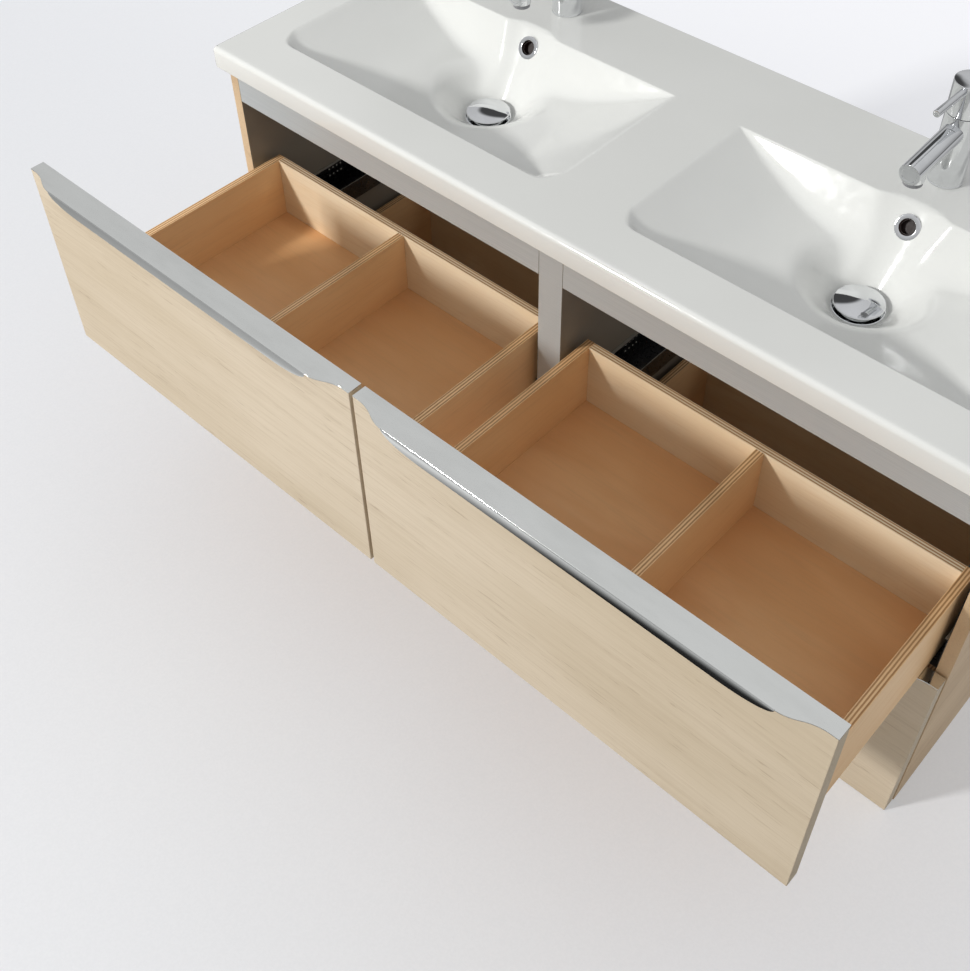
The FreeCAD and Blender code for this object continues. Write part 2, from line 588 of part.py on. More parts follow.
# ---------------------------------------------------------------- taps
def build_tap(side):
    """One mixer; returns its aerator, its nut and its washer."""
    axis = {"x": f"{SIDES[side]} * tap_x", "y": "tap_y"}
    column = turned(f"tap_column_{side}", [
        ("0", "-shank_length"), ("shank_radius", "-shank_length"), ("shank_radius", "0"),
        ("tap_radius - tap_edge", "0"), ("tap_radius", "tap_edge"), ("tap_radius", "tap_body"),
        ("0", "tap_body")], z=BASIN_TOP, **axis)
    spout = rotate(upright(f"spout_{side}", Radius="spout_radius", Height="spout_reach",
                           z=f"{BASIN_TOP} + spout_height", **axis),
                   (1, 0, 0), 90 + size("spout_drop"))
    socket = upright(f"tap_socket_{side}", Radius="socket_radius", Height="socket_depth + tap_gap",
                     z=f"{TAP_JOINT} - socket_depth", **axis)
    mouth = {"x": axis["x"], "y": "tap_y - spout_reach + aerator_back"}
    mouth_z = f"{BASIN_TOP} + spout_height - aerator_drop"
    boss = upright(f"aerator_boss_{side}", Radius="aerator_radius + aerator_wall",
                   Height="boss_height", z=mouth_z, **mouth)
    port = upright(f"aerator_port_{side}", Radius="aerator_radius + thread_play",
                   Height="port_depth", z=mouth_z, **mouth)
    inlets = [upright(f"tap_inlet_{side}_{name}", Radius="inlet_radius", Height="inlet_depth",
                      x=f"{axis['x']} + {turn} * inlet_offset", y="tap_y",
                      z=f"{BASIN_TOP} - shank_length")
              for name, turn in (("cold", 1), ("hot", -1))]
    shell = fuse(f"tap_shell_{side}", [column, spout, boss])
    node(f"tap_body_{side}", cut(f"tap_body_{side}", shell, [socket, port] + inlets))
    aerator = upright(f"aerator_{side}", Radius="aerator_radius",
                      Height="aerator_length + port_depth", z=f"{mouth_z} - aerator_length", **mouth)

    bore = "shank_radius + thread_play"
    washer = turned(f"tap_washer_{side}", [
        (bore, "-washer_height"), ("washer_radius", "-washer_height"), ("washer_radius", "0"),
        (bore, "0")], z="carcass_top", **axis)
    nut = hexagon_nut(f"tap_nut_{side}", "tap_nut_radius", "shank_radius", "tap_nut_height",
                      z="carcass_top - washer_height - tap_nut_height", **axis)
    build_lever(side, axis)
    return aerator, washer, nut


def build_lever(side, axis):
    """The cartridge, and the cap that tilts on its ball and cross pin, with the cap's lever pin.

    The cap's underside slopes up towards the back, so that it can tip by the lever's full tilt.
    """
    ball = primitive("Sphere", f"cartridge_ball_{side}", Radius="ball_radius", z=LEVER_AXIS, **axis)
    barrel = upright(f"cartridge_barrel_{side}", Radius="ball_radius",
                     Height="socket_depth - socket_play",
                     z=f"{TAP_JOINT} - socket_depth + socket_play", **axis)
    trunnion = trunnion_cylinder(f"trunnion_{side}", "0", axis)
    node(f"tap_cartridge_{side}", fuse(f"tap_cartridge_{side}", [ball, barrel, trunnion]))

    cap = turned(f"lever_cap_{side}", [
        ("0", "tap_gap"), ("tap_radius", "tap_gap"), ("tap_radius", "tap_cap - tap_edge"),
        ("tap_radius - tap_edge", "tap_cap"), ("0", "tap_cap + tap_edge")], z=TAP_JOINT, **axis)
    hollow = primitive("Sphere", f"lever_hollow_{side}", Radius="ball_radius + ball_play",
                       z=LEVER_AXIS, **axis)
    slope = size("lever_tilt") + size("lever_spare")
    slant = rotate(primitive("Box", f"lever_slant_{side}", Length="3 * tap_radius",
                             Width="3 * tap_radius", Height="tap_radius",
                             x=f"{axis['x']} - 1.5 * tap_radius",
                             y=f"tap_y + tap_radius * sin({slope} deg)",
                             z=f"{TAP_JOINT} + tap_gap - tap_radius * cos({slope} deg)"),
                   (1, 0, 0), slope)
    pin_root = {"z": f"{TAP_JOINT} + pin_height", **axis}
    pin_turn = 90 - size("pin_rise")
    bore = rotate(upright(f"pin_bore_{side}", Radius="pin_radius + pin_play",
                          Height="1.5 * tap_radius", **pin_root), (1, 0, 0), pin_turn)
    bearing = trunnion_cylinder(f"trunnion_bearing_{side}", "trunnion_play", axis)
    head = cut(f"lever_head_{side}", cap, [hollow, slant, bore, bearing])
    pin = rotate(turned(f"lever_pin_{side}", [
        ("0", "0"), ("pin_radius", "0"), ("pin_radius", "pin_reach - pin_end"),
        ("pin_radius - pin_end", "pin_reach"), ("0", "pin_reach")], **pin_root),
        (1, 0, 0), pin_turn)
    node(f"tap_lever_{side}", group(f"tap_lever_{side}", [head, pin]))


def trunnion_cylinder(name, play, axis):
    """The cross pin that the lever tips about, or with some play the hole it turns in."""
    return rotate(upright(name, Radius=f"trunnion_radius + {play}",
                          Height=f"2 * (trunnion_half + {play})",
                          x=f"{axis['x']} - trunnion_half - {play}", y="tap_y", z=LEVER_AXIS),
                  (0, 1, 0), 90)


# ---------------------------------------------------------------- build and export
def check_document():
    """Stop on any failed object, and on any piece whose shape is empty or not valid."""
    doc.recompute()
    for thing in doc.Objects:
        if {"Invalid", "Error"} & set(thing.State):
            raise SystemExit(f"{thing.Name} failed: {thing.State}")
    for thing in nodes:
        shape = thing.Shape
        if shape.isNull() or not shape.isValid() or not shape.Solids:
            raise SystemExit(f"{thing.Label}: the shape is null, not valid or has no solid")


def export():
    os.makedirs("parts", exist_ok=True)
    for thing in nodes:
        thing.Shape.exportStep(f"parts/{thing.Label}.step")
        box = thing.Shape.BoundBox
        print(f"{thing.Label}: {len(thing.Shape.Solids)} solid(s), volume {thing.Shape.Volume:.0f}, "
              f"x {box.XMin:.1f}..{box.XMax:.1f} y {box.YMin:.1f}..{box.YMax:.1f} "
              f"z {box.ZMin:.1f}..{box.ZMax:.1f}")
    print(len(nodes), "nodes")


build_carcass()
channels = [channel for row in ROWS for side in SIDES for channel in build_drawer(row, side)]
node("runner_channels", group("runner_channels", channels))
build_washbasin()
tap_pieces = [build_tap(side) for side in SIDES]
node("tap_aerators", group("tap_aerators", [pieces[0] for pieces in tap_pieces]))
node("tap_mountings", group("tap_mountings", [part for pieces in tap_pieces for part in pieces[1:]]))
check_document()
export()
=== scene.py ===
import math

import bmesh
import bpy
import numpy as np
from mathutils import Matrix, Vector


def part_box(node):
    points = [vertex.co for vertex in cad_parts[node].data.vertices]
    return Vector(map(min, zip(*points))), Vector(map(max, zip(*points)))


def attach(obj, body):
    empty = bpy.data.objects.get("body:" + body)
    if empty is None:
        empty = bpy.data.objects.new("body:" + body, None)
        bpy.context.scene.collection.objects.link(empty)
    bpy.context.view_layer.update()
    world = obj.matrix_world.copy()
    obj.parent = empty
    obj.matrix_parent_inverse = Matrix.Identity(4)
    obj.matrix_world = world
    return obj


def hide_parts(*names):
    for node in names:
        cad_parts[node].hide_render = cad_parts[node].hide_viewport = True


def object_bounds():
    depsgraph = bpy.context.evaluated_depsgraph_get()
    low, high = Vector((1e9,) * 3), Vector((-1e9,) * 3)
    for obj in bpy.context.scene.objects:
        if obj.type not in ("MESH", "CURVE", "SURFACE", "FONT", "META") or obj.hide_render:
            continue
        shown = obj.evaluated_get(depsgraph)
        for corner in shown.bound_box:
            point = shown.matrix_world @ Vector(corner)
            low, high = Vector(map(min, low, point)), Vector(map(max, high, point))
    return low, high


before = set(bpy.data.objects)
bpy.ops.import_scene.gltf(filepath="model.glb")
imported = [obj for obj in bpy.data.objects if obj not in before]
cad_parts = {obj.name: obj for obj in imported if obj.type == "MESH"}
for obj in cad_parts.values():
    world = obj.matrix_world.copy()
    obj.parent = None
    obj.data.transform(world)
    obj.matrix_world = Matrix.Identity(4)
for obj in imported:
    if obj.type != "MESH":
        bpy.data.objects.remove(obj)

cad_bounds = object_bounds()
MM = 0.001
SIDES = {"left": -1, "right": 1}
ROWS = ("top", "bottom")
DRAWERS = [(row, side) for row in ROWS for side in SIDES]


# ---------------------------------------------------------------- node helpers
class Look:
    """A procedural material: a Principled shader and the nodes that feed it."""

    def __init__(self, name, **sockets):
        self.material = bpy.data.materials.new(name)
        self.material.use_nodes = True
        self.tree = self.material.node_tree
        self.shader = self.tree.nodes["Principled BSDF"]
        for socket, value in sockets.items():
            self.shader.inputs[socket.replace("_", " ")].default_value = value

    def node(self, kind, inputs=None, **properties):
        made = self.tree.nodes.new(kind)
        for key, value in properties.items():
            setattr(made, key, value)
        for key, value in (inputs or {}).items():
            if isinstance(value, bpy.types.NodeSocket):
                self.tree.links.new(value, made.inputs[key])
            else:
                made.inputs[key].default_value = value
        return made

    def math(self, operation, *values):
        made = self.node("ShaderNodeMath", dict(enumerate(values)), operation=operation)
        return made.outputs[0]

    def place(self, scale):
        """Coordinates in the CAD frame, scaled along each axis."""
        coordinates = self.node("ShaderNodeTexCoord")
        mapping = self.node("ShaderNodeMapping", {"Vector": coordinates.outputs["Object"],
                                                  "Scale": scale})
        return mapping.outputs[0]

    def noise(self, vector, detail=4.0, roughness=0.55, distortion=0.0):
        made = self.node("ShaderNodeTexNoise", {"Vector": vector, "Scale": 1.0, "Detail": detail,
                                                "Roughness": roughness, "Distortion": distortion})
        return made.outputs["Fac"]

    def span(self, value, low, high, to_low=0.0, to_high=1.0, kind="SMOOTHSTEP"):
        """A value's range from low to high mapped onto another range, and held beyond its ends."""
        made = self.node("ShaderNodeMapRange", {"Value": value, "From Min": low, "From Max": high,
                                                "To Min": to_low, "To Max": to_high},
                         interpolation_type=kind)
        return made.outputs["Result"]

    def mix(self, factor, first, second):
        """One colour turning into another as the factor goes from 0 to 1."""
        made = self.node("ShaderNodeMix", data_type="RGBA")
        for index, value in ((0, factor), (6, first), (7, second)):
            if isinstance(value, bpy.types.NodeSocket):
                self.tree.links.new(value, made.inputs[index])
            else:
                made.inputs[index].default_value = value if index == 0 else (*value, 1)
        return made.outputs[2]

    def bump(self, height, distance, strength=1.0):
        made = self.node("ShaderNodeBump", {"Height": height, "Distance": distance,
                                            "Strength": strength})
        self.tree.links.new(made.outputs[0], self.shader.inputs["Normal"])

    def feed(self, socket, value):
        self.tree.links.new(value, self.shader.inputs[socket])


# ---------------------------------------------------------------- materials
def oak_laminate(name, grain, pale, tan, streak):
    """Pale oak decor: long streaks and short dark pores along one axis (0 is X, 1 is Y)."""
    look = Look(name)

    def along(long, cross):
        scale = [cross] * 3
        scale[grain] = long
        return look.place(scale)

    drift = look.noise(along(2.2, 7.0), detail=3)
    band = look.noise(along(3.2, 52.0), detail=6, roughness=0.62, distortion=0.5)
    fibre = look.noise(along(9.0, 420.0), detail=3, roughness=0.7)
    pore = look.noise(along(30.0, 420.0), detail=2, roughness=0.4)
    colour = look.mix(look.span(drift, 0.35, 0.68), pale, tan)
    colour = look.mix(look.span(band, 0.50, 0.80, 0.0, 0.45), colour, streak)
    colour = look.mix(look.span(fibre, 0.40, 0.8, 0.0, 0.34), colour, streak)
    mark = look.math("MULTIPLY", look.span(pore, 0.64, 0.71, 0.0, 0.42),
                     look.span(band, 0.42, 0.62))
    colour = look.mix(mark, colour, (0.30, 0.21, 0.13))
    look.feed("Base Color", colour)
    look.feed("Roughness", look.span(fibre, 0.3, 0.8, 0.42, 0.56))
    look.bump(look.math("SUBTRACT", fibre, mark), 0.00012, 0.35)
    return look.material


def birch_plywood(name, grain, pale, warm):
    """Lacquered birch plywood: a rotary-cut face, and plies that show wherever a board is cut.

    The mesh attribute "ply" counts plies through the board: even ones run lengthwise and stay
    pale, odd ones show darker end grain.
    """
    look = Look(name, Coat_Weight=0.12, Coat_Roughness=0.25)
    scale = [7.0, 7.0, 7.0]
    scale[grain] = 2.2
    flow = look.noise(look.place(scale), detail=3, distortion=1.1)
    fine_scale = [260.0, 260.0, 260.0]
    fine_scale[grain] = 14.0
    fine = look.noise(look.place(fine_scale), detail=3, roughness=0.65)
    face = look.mix(look.span(flow, 0.35, 0.68), pale, warm)
    face = look.mix(look.span(fine, 0.45, 0.8, 0.0, 0.22), face, (0.60, 0.41, 0.235))

    ply = look.node("ShaderNodeAttribute", attribute_name="ply").outputs["Fac"]
    wobble = look.span(look.noise(look.place((90, 90, 90)), detail=2), 0.3, 0.7, -0.06, 0.06,
                       "LINEAR")
    swing = look.math("PINGPONG", look.math("ADD", ply, wobble), 1.0)
    end_grain = look.span(swing, 0.56, 0.68)
    from_joint = look.math("ABSOLUTE", look.math("SUBTRACT", swing, 0.52))
    glue = look.math("SUBTRACT", 1.0, look.span(from_joint, 0.02, 0.12))
    pith = look.mix(look.span(fine, 0.3, 0.75), (0.56, 0.31, 0.135), (0.47, 0.25, 0.10))
    colour = look.mix(end_grain, face, pith)
    colour = look.mix(look.math("MULTIPLY", glue, 0.4), colour, (0.22, 0.11, 0.05))
    look.feed("Base Color", colour)
    look.feed("Roughness", look.span(fine, 0.3, 0.8, 0.36, 0.5))
    look.bump(look.math("SUBTRACT", fine, end_grain), 0.00015, 0.3)
    return look.material


def board_melamine(name):
    """Dark taupe melamine with a fine pearl texture."""
    look = Look(name)
    cloud = look.noise(look.place((9, 9, 9)), detail=3)
    grit = look.noise(look.place((900, 900, 900)), detail=2)
    look.feed("Base Color", look.mix(look.span(cloud, 0.3, 0.7), (0.31, 0.28, 0.235),
                                     (0.345, 0.31, 0.26)))
    look.feed("Roughness", look.span(grit, 0.3, 0.7, 0.42, 0.58))
    look.bump(grit, 0.00006, 0.4)
    return look.material


def satin_grey(name):
    """Satin aluminium-look foil on the rails, brushed along X."""
    look = Look(name, Metallic=0.25)
    brush = look.noise(look.place((6, 900, 900)), detail=3, roughness=0.7)
    look.feed("Base Color", look.mix(look.span(brush, 0.3, 0.75), (0.60, 0.625, 0.63),
                                     (0.54, 0.565, 0.57)))
    look.feed("Roughness", look.span(brush, 0.3, 0.7, 0.36, 0.48))
    look.bump(brush, 0.00004, 0.25)
    return look.material


def glazed_ceramic(name):
    """White vitreous glaze: hard gloss over a body with the faintest orange peel."""
    look = Look(name, Coat_Weight=0.15, Coat_Roughness=0.08, IOR=1.45)
    tone = look.noise(look.place((5, 5, 5)), detail=2)
    peel = look.noise(look.place((70, 70, 70)), detail=2, roughness=0.4)
    speck = look.noise(look.place((420, 420, 420)), detail=1)
    base = look.mix(look.span(tone, 0.3, 0.7), (0.81, 0.815, 0.788), (0.79, 0.795, 0.768))
    look.feed("Base Color", look.mix(look.span(speck, 0.78, 0.84, 0.0, 0.25), base,
                                     (0.62, 0.61, 0.58)))
    look.feed("Roughness", look.span(peel, 0.3, 0.7, 0.07, 0.12))
    look.bump(peel, 0.00012, 0.18)
    return look.material


def chrome(name):
    """Polished chrome with faint smears in its gloss."""
    look = Look(name, Metallic=1.0)
    tint = (0.83, 0.84, 0.85)
    smear = look.noise(look.place((35, 35, 60)), detail=3, roughness=0.6)
    fine = look.noise(look.place((800, 800, 800)), detail=2)
    darker = tuple(0.94 * part for part in tint)
    look.feed("Base Color", look.mix(look.span(smear, 0.3, 0.75), tint, darker))
    look.feed("Roughness", look.span(smear, 0.35, 0.75, 0.035, 0.075))
    look.bump(fine, 0.00001, 0.1)
    return look.material


def grip_metal(name):
    """The grip profiles: bright anodised aluminium, drawn lengthwise."""
    look = Look(name, Metallic=1.0)
    drawn = look.noise(look.place((3, 700, 700)), detail=3, roughness=0.65)
    smear = look.noise(look.place((14, 40, 40)), detail=3)
    look.feed("Base Color", look.mix(look.span(smear, 0.3, 0.75), (0.86, 0.87, 0.85),
                                     (0.81, 0.82, 0.80)))
    gloss = look.math("ADD", look.span(drawn, 0.3, 0.75, 0.06, 0.11),
                      look.span(smear, 0.4, 0.8, 0.0, 0.03))
    look.feed("Roughness", gloss)
    look.bump(drawn, 0.00001, 0.12)
    return look.material


def plain_metal(name, colour, roughness, grain=260.0):
    """Plated or cast metal with a mottled surface."""
    look = Look(name, Metallic=1.0)
    mottle = look.noise(look.place((grain,) * 3), detail=4, roughness=0.6)
    wear = look.noise(look.place((25, 25, 25)), detail=3)
    dark = tuple(0.8 * part for part in colour)
    look.feed("Base Color", look.mix(look.span(wear, 0.3, 0.7), colour, dark))
    look.feed("Roughness", look.span(mottle, 0.3, 0.7, roughness - 0.06, roughness + 0.08))
    look.bump(mottle, 0.00004, 0.3)
    return look.material


def moulded_plastic(name, colour, roughness):
    """Plastic or paint with a faint sparkle and slightly uneven tone."""
    look = Look(name)
    spark = look.noise(look.place((1200, 1200, 1200)), detail=2)
    tone = look.noise(look.place((40, 40, 40)), detail=2)
    dark = tuple(0.85 * part for part in colour)
    look.feed("Base Color", look.mix(look.span(tone, 0.3, 0.7), colour, dark))
    look.feed("Roughness", look.span(spark, 0.3, 0.7, roughness - 0.08, roughness + 0.08))
    look.bump(spark, 0.00005, 0.4)
    return look.material


# The floor's own glow grows from one of these depths (Y) to the other.
GLOW_FRONT = -1.2
GLOW_BACK = 1.8


def floor_paper(name):
    """The studio's pale sweep, which glows a little so that no corner of it falls dark."""
    look = Look(name, Roughness=0.8)
    depth = look.node("ShaderNodeSeparateXYZ", {"Vector": look.place((1, 1, 1))}).outputs["Y"]
    grit = look.noise(look.place((300, 300, 300)), detail=2)
    look.feed("Base Color", look.mix(look.span(grit, 0.3, 0.7), (0.60, 0.605, 0.62),
                                     (0.585, 0.59, 0.605)))
    look.feed("Emission Color", look.mix(look.span(depth, GLOW_FRONT, GLOW_BACK),
                                         (0.80, 0.82, 0.84), (0.97, 0.97, 1.0)))
    look.feed("Emission Strength", look.span(depth, GLOW_FRONT, GLOW_BACK, 0.24, 0.50))
    look.bump(grit, 0.0001, 0.05)
    return look.material


OAK_X = oak_laminate("oak_laminate_x", 0, (0.645, 0.555, 0.43), (0.59, 0.50, 0.372),
                     (0.46, 0.37, 0.26))
# The side panels' copy of the oak is warmer and more orange than the fronts': painted warm shade.
OAK_Y_PAINTED_SHADE = oak_laminate("oak_laminate_y_painted_shade", 1, (0.70, 0.54, 0.36), (0.63, 0.47, 0.30),
                     (0.46, 0.33, 0.20))
# One birch plywood in three copies: the backs' pale one is painted direct light, the more orange
# ones of the walls and floors are painted shade.
PLY_BACK_PAINTED_LIGHT = birch_plywood("birch_plywood_back_painted_light", 0, (0.90, 0.79, 0.61), (0.85, 0.71, 0.51))
PLY_WALL_PAINTED_SHADE = birch_plywood("birch_plywood_wall_painted_shade", 1, (0.96, 0.69, 0.415), (0.91, 0.615, 0.34))
PLY_FLOOR_PAINTED_SHADE = birch_plywood("birch_plywood_floor_painted_shade", 0, (0.83, 0.53, 0.285), (0.77, 0.46, 0.23))
MELAMINE = board_melamine("carcass_melamine")
RAIL = satin_grey("rail_satin")
GLAZE = glazed_ceramic("basin_glaze")
CHROME = chrome("tap_chrome")
GRIP = grip_metal("grip_aluminium")
DARK_STEEL = plain_metal("runner_dark_steel", (0.17, 0.17, 0.175), 0.3)
ZINC = plain_metal("zinc_plate", (0.52, 0.52, 0.50), 0.33)
BRASS = plain_metal("turned_brass", (0.70, 0.52, 0.25), 0.24, grain=600.0)
CARTRIDGE = moulded_plastic("cartridge_plastic", (0.30, 0.30, 0.31), 0.4)
# Near-white rivet heads: painted glints.
RIVET_PAINTED_GLINT = moulded_plastic("rivet_painted_glint", (0.93, 0.93, 0.90), 0.25)
# Grey strips along the dark channels' lips: painted highlights.
LIP_PAINTED_HIGHLIGHT = moulded_plastic("channel_lip_painted_highlight", (0.52, 0.51, 0.48), 0.35)
NUT = moulded_plastic("nut_plastic", (0.62, 0.62, 0.60), 0.5)
MESH_GREY = moulded_plastic("aerator_plastic", (0.30, 0.30, 0.31), 0.35)
# Near-black cups behind the overflow holes: painted shade.
OVERFLOW_PAINTED_SHADE = moulded_plastic("overflow_throat_painted_shade", (0.022, 0.008, 0.005), 0.5)
PAPER = floor_paper("floor_paper")


# ---------------------------------------------------------------- mesh helpers
def mesh_object(name, vertices, faces, material, smooth=None):
    """A mesh from points in metres; smooth is the angle above which an edge stays sharp."""
    data = bpy.data.meshes.new(name)
    data.from_pydata([tuple(v) for v in vertices], [], [tuple(f) for f in faces])
    data.validate()
    data.update()
    data.materials.append(material)
    made = bpy.data.objects.new(name, data)
    bpy.context.scene.collection.objects.link(made)
    if smooth is not None:
        data.polygons.foreach_set("use_smooth", [True] * len(data.polygons))
        data.set_sharp_from_angle(angle=math.radians(smooth))
    return made


def place(piece, body, slot, *replaced):
    """Put a finished piece on its body, in place of the CAD nodes it stands for. The slot is not
    used.
    """
    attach(piece, body)
    if replaced:
        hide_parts(*replaced)


BOX_FACES = ((0, 2, 3, 1), (4, 5, 7, 6), (0, 1, 5, 4), (2, 6, 7, 3), (0, 4, 6, 2), (1, 3, 7, 5))
BOX_SIDES = ("-Z", "+Z", "-Y", "+Y", "-X", "+X")


def board(name, low, high, material, bevel=0.6 * MM, faces=None, plies=None):
    """A board with softened edges. faces gives some sides their own material, and plies is
    (axis through the board, number of plies) for the "ply" attribute."""
    corners = [(x, y, z) for z in (low[2], high[2]) for y in (low[1], high[1])
               for x in (low[0], high[0])]
    made = mesh_object(name, corners, BOX_FACES, material, smooth=180)
    for side, other in (faces or {}).items():
        made.data.materials.append(other)
        made.data.polygons[BOX_SIDES.index(side)].material_index = len(made.data.materials) - 1
    if plies:
        axis, count = plies
        attribute = made.data.attributes.new("ply", "FLOAT", "POINT")
        span = high[axis] - low[axis]
        attribute.data.foreach_set("value", [(corner[axis] - low[axis]) / span * (count - 1)
                                             for corner in corners])
    soft = made.modifiers.new("arris", "BEVEL")
    soft.width = bevel
    soft.segments = 3
    soft.limit_method = "NONE"
    soft.harden_normals = True
    return made


def arc(centre, radius, start, end, steps=8):
    """Points (radius from the axis, height) of an arc in a lathe profile, angles in degrees."""
    turn = [math.radians(start + (end - start) * i / steps) for i in range(steps + 1)]
    return [(centre[0] + radius * math.cos(a), centre[1] + radius * math.sin(a)) for a in turn]


def rod_outline(radius, low, high):
    """The lathe profile of a plain rod."""
    return [(0, low), (radius, low), (radius, high), (0, high)]


def lathe(name, profile, material, centre=(0, 0, 0), towards=(0, 0, 1), segments=96, smooth=35):
    """A closed solid turned from a profile of (radius, height) in millimetres."""
    rotation = Vector((0, 0, 1)).rotation_difference(Vector(towards)).to_matrix()
    loop = len(profile)
    vertices, faces = [], []
    for i in range(segments):
        turn = 2 * math.pi * i / segments
        for radius, height in profile:
            point = Vector((radius * math.cos(turn), radius * math.sin(turn), height)) * MM
            vertices.append(rotation @ point + Vector(centre))
    for i in range(segments):
        here, there = i * loop, (i + 1) % segments * loop
        for j in range(loop):
            k = (j + 1) % loop
            faces.append((here + j, there + j, there + k, here + k))
    made = mesh_object(name, vertices, faces, material, smooth)
    tidy(made, smooth)
    return made


def tidy(piece, smooth):
    """Weld the points that a turned profile leaves on its axis, and face the normals outwards."""
    work = bmesh.new()
    work.from_mesh(piece.data)
    bmesh.ops.remove_doubles(work, verts=work.verts, dist=1e-6)
    bmesh.ops.dissolve_degenerate(work, edges=work.edges, dist=1e-7)
    bmesh.ops.recalc_face_normals(work, faces=work.faces)
    work.to_mesh(piece.data)
    work.free()
    piece.data.set_sharp_from_angle(angle=math.radians(smooth))


def carve(piece, tools, operation="DIFFERENCE", smooth=35):
    """Boolean one piece with several others, keep the result as its mesh and drop the tools."""
    for tool in tools:
        cutter = piece.modifiers.new("carve", "BOOLEAN")
        cutter.operation = operation
        cutter.solver = "EXACT"
        cutter.object = tool
        bpy.context.view_layer.update()
        graph = bpy.context.evaluated_depsgraph_get()
        shaped = bpy.data.meshes.new_from_object(piece.evaluated_get(graph))
        piece.modifiers.clear()
        piece.data = shaped
    for tool in tools:
        bpy.data.objects.remove(tool)
    piece.data.polygons.foreach_set("use_smooth", [True] * len(piece.data.polygons))
    piece.data.set_sharp_from_angle(angle=math.radians(smooth))


def join(name, pieces):
    """One object out of several."""
    first = pieces[0]
    with bpy.context.temp_override(active_object=first, selected_editable_objects=pieces):
        bpy.ops.object.join()
    first.name = name
    return first


# ---------------------------------------------------------------- carcass
def build_carcass():
    """The fixed boards and fittings."""
    for side, sign in SIDES.items():
        name = f"side_panel_{side}"
        low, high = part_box(name)
        inner = "-X" if sign > 0 else "+X"
        panel = board(f"{name}_oak", low, high, OAK_Y_PAINTED_SHADE, 0.5 * MM, {inner: MELAMINE})
        place(panel, "cabinet", "oak_laminate", name)
        name = f"front_rail_{side}"
        low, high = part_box(name)
        rail = board(f"{name}_satin", low, high, MELAMINE, 0.8 * MM, {"-Y": RAIL, "-Z": RAIL})
        place(rail, "cabinet", "rail_metal", name)
    low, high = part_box("centre_divider")
    divider = board("centre_divider_satin", low, high, MELAMINE, 0.8 * MM, {"-Y": RAIL})
    place(divider, "cabinet", "carcass_board", "centre_divider")
    for name in ("bottom_panel", "back_rail_upper", "back_rail_lower"):
        dress(name, MELAMINE)
    for name in ("wall_screw_plates", "cam_fittings"):
        dress(name, ZINC)
    dress("runner_channels", DARK_STEEL)


# Details of the fixed channels, in millimetres: rivet heights above the box side and distances
# from the channel's front, and the painted highlight strips on the lips as (start and end from the
# carcass wall, height).
RIVET_ROWS = (33.5, 45.5)
RIVET_COLUMNS = (136, 144, 152, 160)
RIVET_HEAD = [(0, 0), (1.5, 0), (1.5, 0.35), (1.1, 0.75), (0, 0.9)]
RIVET_SEAT = 1.45
CHANNEL_LENGTH = 300
CHANNEL_LIP_HIGHLIGHTS = ((0.1, 4.9, 52.5), (36.6, 37.9, 28))
LIP_METAL = 0.2


def build_channel_details():
    """Rivet heads on the webs of the fixed runner channels, near-white as painted glints, and thin
    grey strips along the channel lips as painted highlights.
    """
    rivets, lip_highlights = [], []
    for row, side in DRAWERS:
        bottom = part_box(f"box_side_left_{row}_{side}")[0].z
        bay = sorted((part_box("centre_divider")[1 if SIDES[side] > 0 else 0].x,
                      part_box(f"side_panel_{side}")[0 if SIDES[side] > 0 else 1].x))
        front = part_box("runner_channels")[0].y
        for wall, inward in ((bay[0], 1), (bay[1], -1)):
            for rise in RIVET_ROWS:
                for back in RIVET_COLUMNS:
                    centre = (wall + inward * RIVET_SEAT * MM, front + back * MM,
                              bottom + rise * MM)
                    rivets.append(lathe("rivet", RIVET_HEAD, RIVET_PAINTED_GLINT, centre, (inward, 0, 0),
                                        segments=12))
            # Thin grey strips along each lip: painted highlights.
            for start, end, rise in CHANNEL_LIP_HIGHLIGHTS:
                across = sorted((wall + inward * start * MM, wall + inward * end * MM))
                low = (across[0], front, bottom + rise * MM)
                high = (across[1], front + CHANNEL_LENGTH * MM, bottom + (rise + LIP_METAL) * MM)
                lip_highlights.append(board("lip", low, high, LIP_PAINTED_HIGHLIGHT, 0.05 * MM))
    place(join("runner_lip_highlights", lip_highlights), "cabinet", "runner_steel")
    place(join("runner_rivets", rivets), "cabinet", "runner_steel")


def dress(node, material):
    """Give a CAD node that stays its finished material."""
    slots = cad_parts[node].data.materials
    slots.clear()
    slots.append(material)


# ---------------------------------------------------------------- drawers
PLIES = 7
FLOOR_PLIES = 3


def build_drawer(row, side):
    """One drawer: front, box, grip profile and the runner members that move."""
    tag = f"{row}_{side}"
    body = f"drawer_{tag}"
    name = f"front_panel_{tag}"
    front = board(f"{name}_oak", *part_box(name), OAK_X, 0.9 * MM)
    place(front, body, "oak_laminate", name)
    # Box backs take the plywood copy with painted light, and walls, partitions and floors the copies
    # with painted shade.
    boards = {f"box_side_left_{tag}": (0, PLIES, PLY_WALL_PAINTED_SHADE), f"box_side_right_{tag}": (0, PLIES, PLY_WALL_PAINTED_SHADE),
              f"box_back_{tag}": (1, PLIES, PLY_BACK_PAINTED_LIGHT), f"box_floor_{tag}": (2, FLOOR_PLIES, PLY_FLOOR_PAINTED_SHADE)}
    if row == "top":
        boards[f"box_partition_{tag}"] = (0, PLIES, PLY_WALL_PAINTED_SHADE)
    for name, (axis, count, material) in boards.items():
        ply = board(f"{name}_ply", *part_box(name), material, 0.45 * MM, plies=(axis, count))
        place(ply, body, "birch_plywood", name)
    place(grip_profile(tag), body, "handle_chrome", f"handle_profile_{tag}")
    dress(f"runner_drawer_{tag}", DARK_STEEL)
    dress(f"runner_middle_{tag}", DARK_STEEL)


